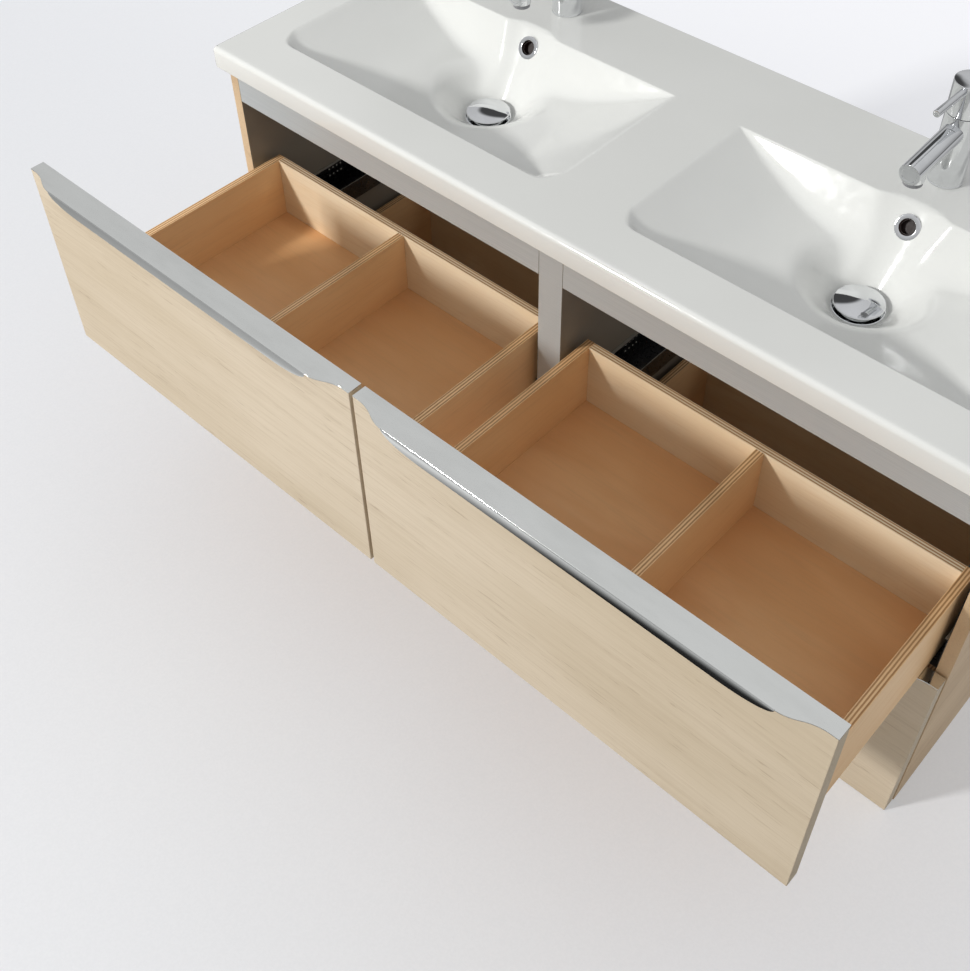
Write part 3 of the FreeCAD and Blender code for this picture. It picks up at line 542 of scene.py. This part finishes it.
# Grip profile, in millimetres, as in the CAD model
GRIP_METAL = 1.2
GRIP_BOARD = 19
GRIP_REACH = 13
GRIP_FLUSH = 9
GRIP_BLEND = 50
LIP_START = 56
LIP_FULL = 116
LIP_DEPTH = 17
LIP_BEND = 1.9
LIP_CURL = 0.8


def smooth_step(t):
    """0 to 1 along two tangent arcs."""
    t = min(max(t, 0.0), 1.0)
    return 2 * t * t if t < 0.5 else 1 - 2 * (1 - t) * (1 - t)


def grip_section(from_end):
    """The closed cross-section of the profile at a distance from its nearer end: (y, z) points."""
    swell = smooth_step((from_end - GRIP_FLUSH) / GRIP_BLEND)
    front = -(GRIP_BOARD + GRIP_REACH * swell)
    along = min(max((from_end - LIP_START) / (LIP_FULL - LIP_START), 0.0), 1.0)
    drop = GRIP_METAL + (LIP_DEPTH - GRIP_METAL) * math.sqrt(1 - (1 - along) ** 2)
    bend = min(LIP_BEND, 0.25 + 0.98 * (drop - GRIP_METAL) + 0.25)
    inner = max(bend - GRIP_METAL, 0.05)
    outer = [(front + bend - bend * math.sin(a), GRIP_METAL - bend + bend * math.cos(a))
             for a in np.linspace(0, math.pi / 2, 9)]
    low = GRIP_METAL - max(drop, bend + 0.02)
    curl = LIP_CURL * along
    outer += [(front, GRIP_METAL - bend - 0.7 * (drop - bend)), (front + 0.25 * curl, low + 0.25),
              (front + curl + 0.3, low)]
    back = min(front + GRIP_METAL, 0)
    inner_low = min(low, -0.02)
    inside = [(back + curl - 0.2, inner_low), (back + 0.25 * curl, low + 0.6),
              (back, min(GRIP_METAL - bend - 0.7 * (drop - bend), -0.02))]
    inside += [(back + inner - inner * math.cos(a), -inner + inner * math.sin(a))
               for a in np.linspace(0, math.pi / 2, 5)]
    return [(0, GRIP_METAL)] + outer + inside + [(0, 0)]


def grip_profile(tag):
    """One drawer's grip: its cross-section swept along the front panel's top edge."""
    low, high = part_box(f"handle_profile_{tag}")
    width = (high.x - low.x) / MM
    corner = Vector((low.x, high.y, high.z - GRIP_METAL * MM))
    near = sorted({*np.linspace(0, GRIP_FLUSH, 3),
                   *np.linspace(GRIP_FLUSH, GRIP_FLUSH + GRIP_BLEND, 41),
                   *np.linspace(LIP_START, LIP_FULL, 40)})
    middle = list(np.linspace(LIP_FULL, width - LIP_FULL, 12))
    stations = near + middle[1:-1] + [width - s for s in reversed(near)]
    vertices, faces = [], []
    loop = len(grip_section(0))
    for station in stations:
        for y, z in grip_section(min(station, width - station)):
            vertices.append(corner + Vector((station, y, z)) * MM)
    for i in range(len(stations) - 1):
        for j in range(loop):
            k = (j + 1) % loop
            faces.append((i * loop + j, i * loop + k, (i + 1) * loop + k, (i + 1) * loop + j))
    faces.append(range(loop))
    faces.append([(len(stations) - 1) * loop + j for j in reversed(range(loop))])
    made = mesh_object(f"handle_profile_{tag}_sheet", vertices, faces, GRIP, smooth=40)
    tidy(made, 40)
    return made


# ---------------------------------------------------------------- washbasin
# All in millimetres, and slopes as depth gained per millimetre inwards
BASIN_EDGE = 7.0
BASIN_FOOT = 1.5
SHELL = 10.0
UNDERSIDE_BLEND = 12.0
BOWL_X = 300.0
BOWL_HALF = 250.0
BOWL_FRONT = -388.0
BOWL_BACK = -134.0
BOWL_DEPTH = 96.0
RAMP_SLOPE = 0.43
RAMP_EASE = 0.0004
FLOOR_DEPTH = 62.0
FLOOR_BLEND = 26.0
FRONT_SLOPE = 1.35
BACK_SLOPE = 1.55
FOOT_BLEND = 3
FRONT_WIDENING = 0.12
BACK_WIDENING = 0.30
CORNER_SLOPE = 0.75
CORNER_CUT = 24.0
CORNER_BLEND = 8.0
DRAIN_BLEND = 2.0
RIM_ROUND = 2.5
DRAIN_Y = -227.0
DRAIN_DISH = 34.0
DISH_SLOPE = 0.9
DISH_BLEND = 12.0
SEAT_FLAT = 35.0
SEAT_SLOPE = 1.4
SEAT_ROUND = 4.0
DRAIN_HOLE = 23
OVERFLOW_HOLE = 10.5
SHANK_HOLE = 17.5
CUT_LENGTH = 60
CLOSEST_LINES = 0.45


def soft_min(a, b, blend):
    """The smaller of two values, rounded off where they come within the blend of each other."""
    overlap = np.maximum(blend - np.abs(a - b), 0) / blend
    return np.minimum(a, b) - overlap * overlap * blend / 4


def bowl_depth(x, y):
    """Depth in millimetres below the rim at points of the top, zero outside the bowls.

    Two long ramps fall from the ends towards the drain, between a steep front and a back wall
    whose foot rises to the corners. A level seat takes the waste.
    """
    end = BOWL_HALF - np.abs(np.abs(x) - BOWL_X)
    ramp = soft_min(RAMP_SLOPE * end - RAMP_EASE * end * np.abs(end), FLOOR_DEPTH, FLOOR_BLEND)
    reach = np.hypot(np.abs(x) - BOWL_X, y - DRAIN_Y)
    dish = BOWL_DEPTH - DISH_SLOPE * np.maximum(reach - DRAIN_DISH, 0)
    floor = soft_min(-soft_min(-ramp, -dish, DISH_BLEND), BOWL_DEPTH, DRAIN_BLEND)
    sunk = np.maximum(floor, 0)
    run = y - BOWL_FRONT
    hollow = soft_min(floor, FRONT_SLOPE * run, FOOT_BLEND + FRONT_WIDENING * sunk)
    hollow = soft_min(hollow, CORNER_SLOPE * (end + run - CORNER_CUT), CORNER_BLEND)
    hollow = soft_min(hollow, BACK_SLOPE * (BOWL_BACK - y), FOOT_BLEND + BACK_WIDENING * sunk)
    seat = BOWL_DEPTH - SEAT_SLOPE * np.maximum(reach - SEAT_FLAT, 0)
    hollow = np.minimum(-soft_min(-hollow, -seat, SEAT_ROUND), BOWL_DEPTH)
    rounded = -soft_min(-hollow, 0, RIM_ROUND) - RIM_ROUND / 4 * (hollow > -RIM_ROUND)
    return np.maximum(rounded, 0)


def grid_lines(low, high, coarse, fine_at):
    """Grid positions from low to high: coarse, with extra lines close to each place in fine_at."""
    lines = set(np.round(np.linspace(low, high, int((high - low) / coarse) + 1), 3))
    for place_at, reach, step in fine_at:
        lines |= set(np.round(np.arange(place_at - reach, place_at + reach + step / 2, step), 3))
    kept = []
    for line in sorted(line for line in lines if low <= line <= high):
        if not kept or line - kept[-1] > CLOSEST_LINES:
            kept.append(line)
    kept[0], kept[-1] = low, high
    return np.array(kept)


def build_washbasin():
    """The ceramic top: a grid for its upper and lower faces, a rounded edge, and its holes."""
    low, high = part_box("washbasin_top")
    deck = high.z / MM
    slab_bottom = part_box("side_panel_left")[1].z / MM
    half, front, back = high.x / MM, low.y / MM, high.y / MM
    rims = [sign * BOWL_X + end * BOWL_HALF for sign in (-1, 1) for end in (-1, 1)]
    xs = grid_lines(-half + BASIN_EDGE, half - BASIN_EDGE, 5.0, [(rim, 9, 1.5) for rim in rims])
    ys = grid_lines(front + BASIN_EDGE, back, 4.0,
                    [(BOWL_FRONT, 8, 1.0), (BOWL_BACK - 4, 10, 1.0)])
    grid_x, grid_y = np.meshgrid(xs, ys, indexing="ij")
    top = deck - bowl_depth(grid_x, grid_y)
    under = soft_min(slab_bottom, top - SHELL, UNDERSIDE_BLEND)
    rows, columns = grid_x.shape
    vertices = np.concatenate([np.stack([grid_x, grid_y, top], -1).reshape(-1, 3),
                               np.stack([grid_x, grid_y, under], -1).reshape(-1, 3)]).tolist()
    lower = rows * columns

    def index(i, j, level=0):
        return level * lower + i * columns + j

    faces = [(index(i, j), index(i + 1, j), index(i + 1, j + 1), index(i, j + 1))
             for i in range(rows - 1) for j in range(columns - 1)]
    faces += [(index(i, j, 1), index(i, j + 1, 1), index(i + 1, j + 1, 1), index(i + 1, j, 1))
              for i in range(rows - 1) for j in range(columns - 1)]

    # The edge: each point on the grid's left, front and right border carries one drop of profile.
    border = [(0, j, (-1, 0)) for j in range(columns - 1, 0, -1)]
    border += [(0, 0, (-math.cos(a), -math.sin(a))) for a in np.linspace(0, math.pi / 2, 9)]
    border += [(i, 0, (0, -1)) for i in range(1, rows - 1)]
    border += [(rows - 1, 0, (math.sin(a), -math.cos(a))) for a in np.linspace(0, math.pi / 2, 9)]
    border += [(rows - 1, j, (1, 0)) for j in range(1, columns)]
    turn = np.linspace(0, math.pi / 2, 9)[1:]
    drop = [(BASIN_EDGE * math.sin(a), deck - BASIN_EDGE * (1 - math.cos(a))) for a in turn]
    drop += [(BASIN_EDGE - BASIN_FOOT * (1 - math.cos(a)),
              slab_bottom + BASIN_FOOT * (1 - math.sin(a))) for a in np.linspace(0, math.pi / 2, 5)]
    strips = []
    for i, j, (dx, dy) in border:
        strip = [index(i, j)]
        for out, height in drop:
            vertices.append((xs[i] + dx * out, ys[j] + dy * out, height))
            strip.append(len(vertices) - 1)
        strip.append(index(i, j, 1))
        strips.append(strip)
    for first, second in zip(strips, strips[1:]):
        for a in range(len(first) - 1):
            faces.append((first[a], first[a + 1], second[a + 1], second[a]))
    top_edge = [index(i, columns - 1) for i in range(rows)]
    foot_edge = [index(i, columns - 1, 1) for i in range(rows)]
    for i in range(rows - 1):
        faces.append((top_edge[i], foot_edge[i], foot_edge[i + 1], top_edge[i + 1]))
    faces.append(strips[0])
    faces.append(list(reversed(strips[-1])))
    points = np.array(vertices) * MM
    basin = mesh_object("washbasin_glazed", points, faces, GLAZE, smooth=50)
    tidy(basin, 50)
    cutters = []
    for sign in SIDES.values():
        drain = (sign * BOWL_X * MM, DRAIN_Y * MM, (deck - BOWL_DEPTH - CUT_LENGTH / 2) * MM)
        cutters.append(lathe("drain_tool", rod_outline(DRAIN_HOLE, 0, CUT_LENGTH), GLAZE, drain))
        centre, outward = overflow_place(sign)
        cutters.append(lathe("overflow_tool", rod_outline(OVERFLOW_HOLE, -9, 30), GLAZE, centre,
                             outward))
        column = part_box(f"tap_lever_{'left' if sign < 0 else 'right'}")
        foot = ((column[0].x + column[1].x) / 2, column[1].y - TAP_RADIUS * MM,
                (slab_bottom - 5) * MM)
        cutters.append(lathe("shank_tool", rod_outline(SHANK_HOLE, 0, CUT_LENGTH), GLAZE, foot))
    carve(basin, [join("basin_tools", cutters)], smooth=50)
    place(basin, "cabinet", "basin_ceramic", "washbasin_top")


def overflow_place(sign):
    """Centre and outward direction of an overflow on its bowl's back wall."""
    low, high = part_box("overflow_rings")
    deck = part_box("washbasin_top")[1].z
    height = (low.z + high.z) / 2
    depth = (deck - height) / MM
    wall = BOWL_BACK
    while bowl_depth(np.array([BOWL_X]), np.array([wall]))[0] < depth:
        wall -= 0.25
    step = 1.5
    rise = (bowl_depth(np.array([BOWL_X]), np.array([wall - step]))[0] - depth) / step
    outward = Vector((0, -rise, 1)).normalized()
    return Vector((sign * BOWL_X * MM, wall * MM, height)), outward


def build_overflow():
    """The chrome overflow rings, and behind them near-black cups: painted shade inside the overflow
    holes.
    """
    rings, throats = [], []
    for side, sign in SIDES.items():
        centre, outward = overflow_place(sign)
        lip = [(9.2, -5), (10.4, -5), (10.4, 0.2), (16.2, 0.2)] + arc((14.9, 0.9), 1.3, 0, 90, 6)
        lip += arc((11.2, 1.2), 1.0, 90, 180, 6) + [(9.2, -0.4)]
        rings.append(lathe(f"ring_{side}", lip, CHROME, centre, outward))
        # A near-black cup behind the hole: painted shade.
        cup = [(0, -8.6), (9.1, -8.6), (9.1, -1.2), (8.6, -1.2), (8.6, -8.0), (0, -8.0)]
        throats.append(lathe(f"throat_{side}", cup, OVERFLOW_PAINTED_SHADE, centre, outward, segments=48))
    place(join("overflow_rings_chrome", rings), "cabinet", "chrome", "overflow_rings")
    place(join("overflow_shade_cups", throats), "cabinet", "chrome")


# ---------------------------------------------------------------- wastes
# In millimetres, with heights from the ceramic's seat
FLANGE_METAL = 2.5
FLANGE_RADIUS = 33
BARREL_RADIUS = 22.5
TAIL_RADIUS = 20.9
WASTE_BORE = 17
WASTE_LENGTH = 70
STEM_RADIUS = 4
STEM_LENGTH = 44
PLUG_HEIGHT = 5.5
PLUG_CROWN = 3.5
PLUG_SHOULDER = 30.3


def build_waste(side):
    """One waste: its casting, the spokes and hub that guide the plug, and the plug."""
    low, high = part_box(f"waste_body_{side}")
    seat = Vector(((low.x + high.x) / 2, (low.y + high.y) / 2, high.z - FLANGE_METAL * MM))
    flange = [(WASTE_BORE, -18), (WASTE_BORE, -WASTE_LENGTH), (TAIL_RADIUS, -WASTE_LENGTH),
              (TAIL_RADIUS, -34), (BARREL_RADIUS, -33), (BARREL_RADIUS, 0), (FLANGE_RADIUS, 0)]
    flange += arc((31.6, 1.1), 1.4, 0, 90, 6) + [(25.5, 1.9)]
    flange += arc((BARREL_RADIUS, 0.9), 1.0, 90, 180, 4) + [(21, -9)]
    body = lathe(f"waste_body_{side}_chrome", flange, CHROME, seat)
    place(body, "cabinet", "chrome", f"waste_body_{side}")
    spokes = board(f"waste_spokes_{side}", seat + Vector((-18, -2, -35)) * MM,
                   seat + Vector((18, 2, -29)) * MM, CHROME, 0.5 * MM)
    place(spokes, "cabinet", "chrome")
    hub = lathe(f"waste_hub_{side}", [(4.3, -36), (7.5, -36), (7.5, -28), (4.3, -28)], CHROME, seat,
                segments=48)
    place(hub, "cabinet", "chrome")

    low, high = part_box(f"waste_plug_{side}")
    rim = (high.z / MM - seat.z / MM) - PLUG_HEIGHT
    radius = (FLANGE_RADIUS ** 2 + PLUG_CROWN ** 2) / (2 * PLUG_CROWN)
    outline = [(radius * math.sin(a), rim + PLUG_HEIGHT - radius * (1 - math.cos(a)))
               for a in np.linspace(0, math.asin(PLUG_SHOULDER / radius), 14)]
    outline += arc((PLUG_SHOULDER, rim + 1.1), 1.0, 70, -90, 8)
    outline += [(20.8, rim + 0.1), (20.2, rim - 2.6), (STEM_RADIUS, rim - 2.6),
                (STEM_RADIUS, rim - STEM_LENGTH), (0, rim - STEM_LENGTH)]
    plug = lathe(f"waste_plug_{side}_chrome", outline, CHROME, seat, segments=128)
    place(plug, f"plug_{side}", "chrome", f"waste_plug_{side}")


# ---------------------------------------------------------------- taps
# In millimetres and degrees. The body's and the spout's heights are from the deck, the cap's, the
# pin's and the ball's from the top of the body.
TAP_RADIUS = 21.6
TAP_BODY = 96.0
SHANK_RADIUS = 16.5
SHANK_LENGTH = 58
CAP_HEIGHT = 41.5
SEAM = 0.6
SPOUT_RADIUS = 13.5
SPOUT_REACH = 113.0
SPOUT_HEIGHT = 75.5
SPOUT_DROP = 4.0
PIN_RADIUS = 4.5
PIN_REACH = 83.0
PIN_HEIGHT = 34.3
PIN_RISE = 2.3
LEVER_SLOPE = 22.0
BALL_LIFT = 5
LEVER_HOLLOW = 17.4
BEARING_RADIUS = 3.1
BEARING_END = 19.7
AERATOR_LIFT = 5
KNURL_TEETH = 36
KNURL_RADIUS = 10.7


def build_tap(side):
    """One mixer: the body with its spout, the aerator's knurled collar, and the lever."""
    low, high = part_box(f"tap_lever_{side}")
    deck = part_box("washbasin_top")[1].z
    foot = Vector(((low.x + high.x) / 2, high.y - TAP_RADIUS * MM, deck))
    column = [(0, -SHANK_LENGTH), (SHANK_RADIUS, -SHANK_LENGTH), (SHANK_RADIUS, 0), (20.9, 0)]
    column += arc((21.1, 0.6), 0.5, -90, 0, 3)
    column += [(21.6, 2.2), (21.25, 2.5), (21.25, 3.0), (21.6, 3.3)]
    column += arc((TAP_RADIUS - 0.5, TAP_BODY - 0.5), 0.5, 0, 90, 4)
    column += arc((17.7, TAP_BODY - 0.5), 0.5, 90, 180, 3) + [(17.2, 52), (0, 52)]
    body = lathe(f"tap_body_{side}_chrome", column, CHROME, foot, segments=160)
    drop = math.radians(SPOUT_DROP)
    direction = Vector((0, -math.cos(drop), -math.sin(drop)))
    root = foot + Vector((0, 0, SPOUT_HEIGHT)) * MM
    pipe = [(0, 18), (SPOUT_RADIUS, 18)]
    pipe += arc((SPOUT_RADIUS - 0.7, SPOUT_REACH - 0.7), 0.7, 0, 90, 4)
    pipe += [(9.5, SPOUT_REACH), (9.1, SPOUT_REACH - 0.4), (0, SPOUT_REACH - 0.4)]
    spout = lathe("spout", pipe, CHROME, root, direction, segments=128)
    aerator_low, aerator_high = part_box("tap_aerators")
    mouth = Vector((foot.x, (aerator_low.y + aerator_high.y) / 2,
                    aerator_low.z + AERATOR_LIFT * MM))
    boss = lathe("boss", [(0, 0)] + arc((12.0, 0.5), 0.5, -90, 0, 3) + [(12.5, 13), (0, 13)],
                 CHROME, mouth)
    carve(body, [spout, boss], "UNION", smooth=30)
    place(body, "cabinet", "chrome", f"tap_body_{side}")

    knurl = []
    for i in range(KNURL_TEETH):
        turn = 2 * math.pi * i / KNURL_TEETH
        centre = mouth + Vector((KNURL_RADIUS * math.cos(turn), KNURL_RADIUS * math.sin(turn),
                                 -2.4)) * MM
        knurl.append(lathe("tooth", [(0, -2.3), (0.55, -2.3), (0.75, -2), (0.75, 2.3), (0, 2.3)],
                           CHROME, centre, segments=8))
    sleeve = [(9.3, -4.6)] + arc((10.4, -4.2), 0.5, -90, 0, 3) + [(10.9, 2.8), (9.3, 2.8)]
    collar = lathe("collar", sleeve, CHROME, mouth, segments=72)
    collar = join(f"aerator_collar_{side}", [collar] + knurl)
    place(collar, "cabinet", "chrome")

    joint = foot + Vector((0, 0, TAP_BODY)) * MM
    cap = [(0, SEAM)] + arc((TAP_RADIUS - 0.5, SEAM + 0.5), 0.5, -90, 0, 4)
    cap += arc((TAP_RADIUS - 0.8, CAP_HEIGHT - 0.8), 0.8, 0, 90, 5)
    cap += [(12, CAP_HEIGHT + 0.35), (0, CAP_HEIGHT + 0.6)]
    head = lathe("head", cap, CHROME, joint, segments=160)
    pivot = joint + Vector((0, 0, BALL_LIFT)) * MM
    hollow = lathe("hollow", arc((0, 0), LEVER_HOLLOW, -90, 90, 24), CHROME, pivot, segments=72)
    bearing = lathe("bearing", rod_outline(BEARING_RADIUS, -BEARING_END, BEARING_END), CHROME, pivot,
                    (1, 0, 0), segments=32)
    slope = math.radians(LEVER_SLOPE)
    wedge = board("wedge", Vector((-30, 0, -30)) * MM, Vector((30, 60, 0)) * MM, CHROME)
    wedge.modifiers.clear()
    wedge.data.transform(Matrix.Rotation(slope, 4, "X"))
    wedge.data.transform(Matrix.Translation(joint + Vector((0, 0, SEAM)) * MM))
    carve(head, [hollow, bearing, wedge], smooth=30)
    rise = math.radians(PIN_RISE)
    pin_root = joint + Vector((0, 0, PIN_HEIGHT)) * MM
    pin_line = Vector((0, -math.cos(rise), math.sin(rise)))
    rod = [(0, 14), (PIN_RADIUS, 14)] + arc((PIN_RADIUS - 1.2, PIN_REACH - 1.2), 1.2, 0, 90, 6)
    rod += [(1.7, PIN_REACH), (1.5, PIN_REACH - 0.5), (0, PIN_REACH - 0.5)]
    pin = lathe("pin", rod, CHROME, pin_root, pin_line, segments=64)
    carve(head, [pin], "UNION", smooth=30)
    head.name = f"tap_lever_{side}_chrome"
    place(head, f"lever_{side}", "chrome", f"tap_lever_{side}")
    dress(f"tap_cartridge_{side}", CARTRIDGE)


# ---------------------------------------------------------------- stage
CAMERA_PLACE = (0.7577, -1.3462, 1.2659)
CAMERA_AZIMUTH = 0.755
CAMERA_ELEVATION = 0.802
CAMERA_ROLL = -0.017
CAMERA_LENS = 47.74
CAMERA_SHIFT = (-0.0106, -0.101)
KEY_DIRECTION = (0.415, 0.784, -0.462)
KEY_TARGET = (0, -0.45, 0.1)
KEY_DISTANCE = 5.0
KEY_SIZE = 0.48
KEY_WATTS = 160
KEY_COLOUR = (1.0, 0.995, 0.985)
# Brightness of the surroundings by height, from straight down (-1) to straight up (1). The floor
# hides the lower half from all but reflections.
SKY = ((-1.0, 0.02), (-0.845, 0.03), (-0.82, 0.22), (-0.79, 0.5), (-0.735, 0.95), (-0.70, 0.55),
       (-0.55, 0.42), (-0.10, 0.70), (0.0, 0.12), (0.10, 0.42), (0.45, 0.66), (1.0, 0.78))
SKY_STRENGTH = 0.92
# A dark round patch of the surroundings, which polished metal reflects; angles in degrees
FLAG_DIRECTION = (-0.476, 0.655, 0.588)
FLAG_SPREAD = 11.5
FLAG_SOFTNESS = 2
FLAG_LEVEL = 0.13
VIEW_GAMMA = 0.85
FLOOR_HALF = 14.0
FLOOR_GAP = 0.5 * MM


def build_camera():
    """The camera, aimed by azimuth from straight at the wall, elevation and roll in radians."""
    data = bpy.data.cameras.new("camera")
    data.sensor_fit = "HORIZONTAL"
    data.sensor_width = 36
    data.lens = CAMERA_LENS
    data.shift_x, data.shift_y = CAMERA_SHIFT
    camera = bpy.data.objects.new("camera", data)
    bpy.context.scene.collection.objects.link(camera)
    azimuth, elevation = CAMERA_AZIMUTH, CAMERA_ELEVATION
    ahead = Vector((-math.sin(azimuth) * math.cos(elevation),
                    math.cos(azimuth) * math.cos(elevation), -math.sin(elevation)))
    right = ahead.cross(Vector((0, 0, 1))).normalized()
    up = right.cross(ahead)
    c, s = math.cos(CAMERA_ROLL), math.sin(CAMERA_ROLL)
    right, up = c * right + s * up, c * up - s * right
    facing = Matrix((right, up, -ahead)).transposed().to_4x4()
    camera.matrix_world = Matrix.Translation(CAMERA_PLACE) @ facing
    bpy.context.scene.camera = camera


def build_key():
    """A square softbox that shines along the key direction onto its target."""
    data = bpy.data.lights.new("key", "AREA")
    data.shape = "RECTANGLE"
    data.size = data.size_y = KEY_SIZE
    data.energy = KEY_WATTS
    data.color = KEY_COLOUR
    lamp = bpy.data.objects.new("key", data)
    line = Vector(KEY_DIRECTION).normalized()
    lamp.location = Vector(KEY_TARGET) - line * KEY_DISTANCE
    lamp.rotation_euler = line.to_track_quat("-Z", "Y").to_euler()
    bpy.context.scene.collection.objects.link(lamp)


def build_world():
    """The surroundings: brightness by height, with one dark patch."""
    world = bpy.data.worlds.new("studio")
    world.use_nodes = True
    tree = world.node_tree
    background = tree.nodes["Background"]

    def add(kind, *inputs, **properties):
        made = tree.nodes.new(kind)
        for key, value in properties.items():
            setattr(made, key, value)
        for index, value in enumerate(inputs):
            if isinstance(value, bpy.types.NodeSocket):
                tree.links.new(value, made.inputs[index])
            else:
                made.inputs[index].default_value = value
        return made

    sky = add("ShaderNodeTexCoord").outputs["Generated"]
    height = add("ShaderNodeSeparateXYZ", sky).outputs["Z"]
    halved = add("ShaderNodeMath", height, 0.5, 0.5, operation="MULTIPLY_ADD").outputs[0]
    ramp = add("ShaderNodeValToRGB", halved)
    stops = ramp.color_ramp.elements
    for rise, _ in SKY[1:-1]:
        stops.new((rise + 1) / 2)
    for stop, (_, level) in zip(stops, SKY):
        stop.color = (level, level * 1.005, level * 1.02, 1)
    facing = add("ShaderNodeVectorMath", sky, FLAG_DIRECTION, operation="DOT_PRODUCT")
    flag = add("ShaderNodeMapRange", facing.outputs["Value"],
               math.cos(math.radians(FLAG_SPREAD + FLAG_SOFTNESS)),
               math.cos(math.radians(FLAG_SPREAD - FLAG_SOFTNESS)), SKY_STRENGTH, FLAG_LEVEL,
               interpolation_type="SMOOTHSTEP")
    tree.links.new(ramp.outputs["Color"], background.inputs["Color"])
    tree.links.new(flag.outputs["Result"], background.inputs["Strength"])
    bpy.context.scene.world = world
    bpy.context.scene.view_settings.view_transform = "Standard"
    bpy.context.scene.view_settings.gamma = VIEW_GAMMA


def build_floor():
    """The pale floor. Reflections skip it and show the surroundings' lower half instead."""
    low = cad_bounds[0][2] - FLOOR_GAP
    corners = [(x * FLOOR_HALF, y * FLOOR_HALF, low)
               for x, y in ((-1, -1), (1, -1), (1, 1), (-1, 1))]
    floor = mesh_object("floor", corners, [(0, 1, 2, 3)], PAPER)
    floor.visible_glossy = False


# ---------------------------------------------------------------- build
build_camera()
build_key()
build_world()
build_floor()
build_carcass()
build_channel_details()
for row, side in DRAWERS:
    build_drawer(row, side)
build_washbasin()
build_overflow()
for side in SIDES:
    build_waste(side)
    build_tap(side)
dress("waste_nuts", NUT)
dress("tap_aerators", MESH_GREY)
dress("tap_mountings", BRASS)
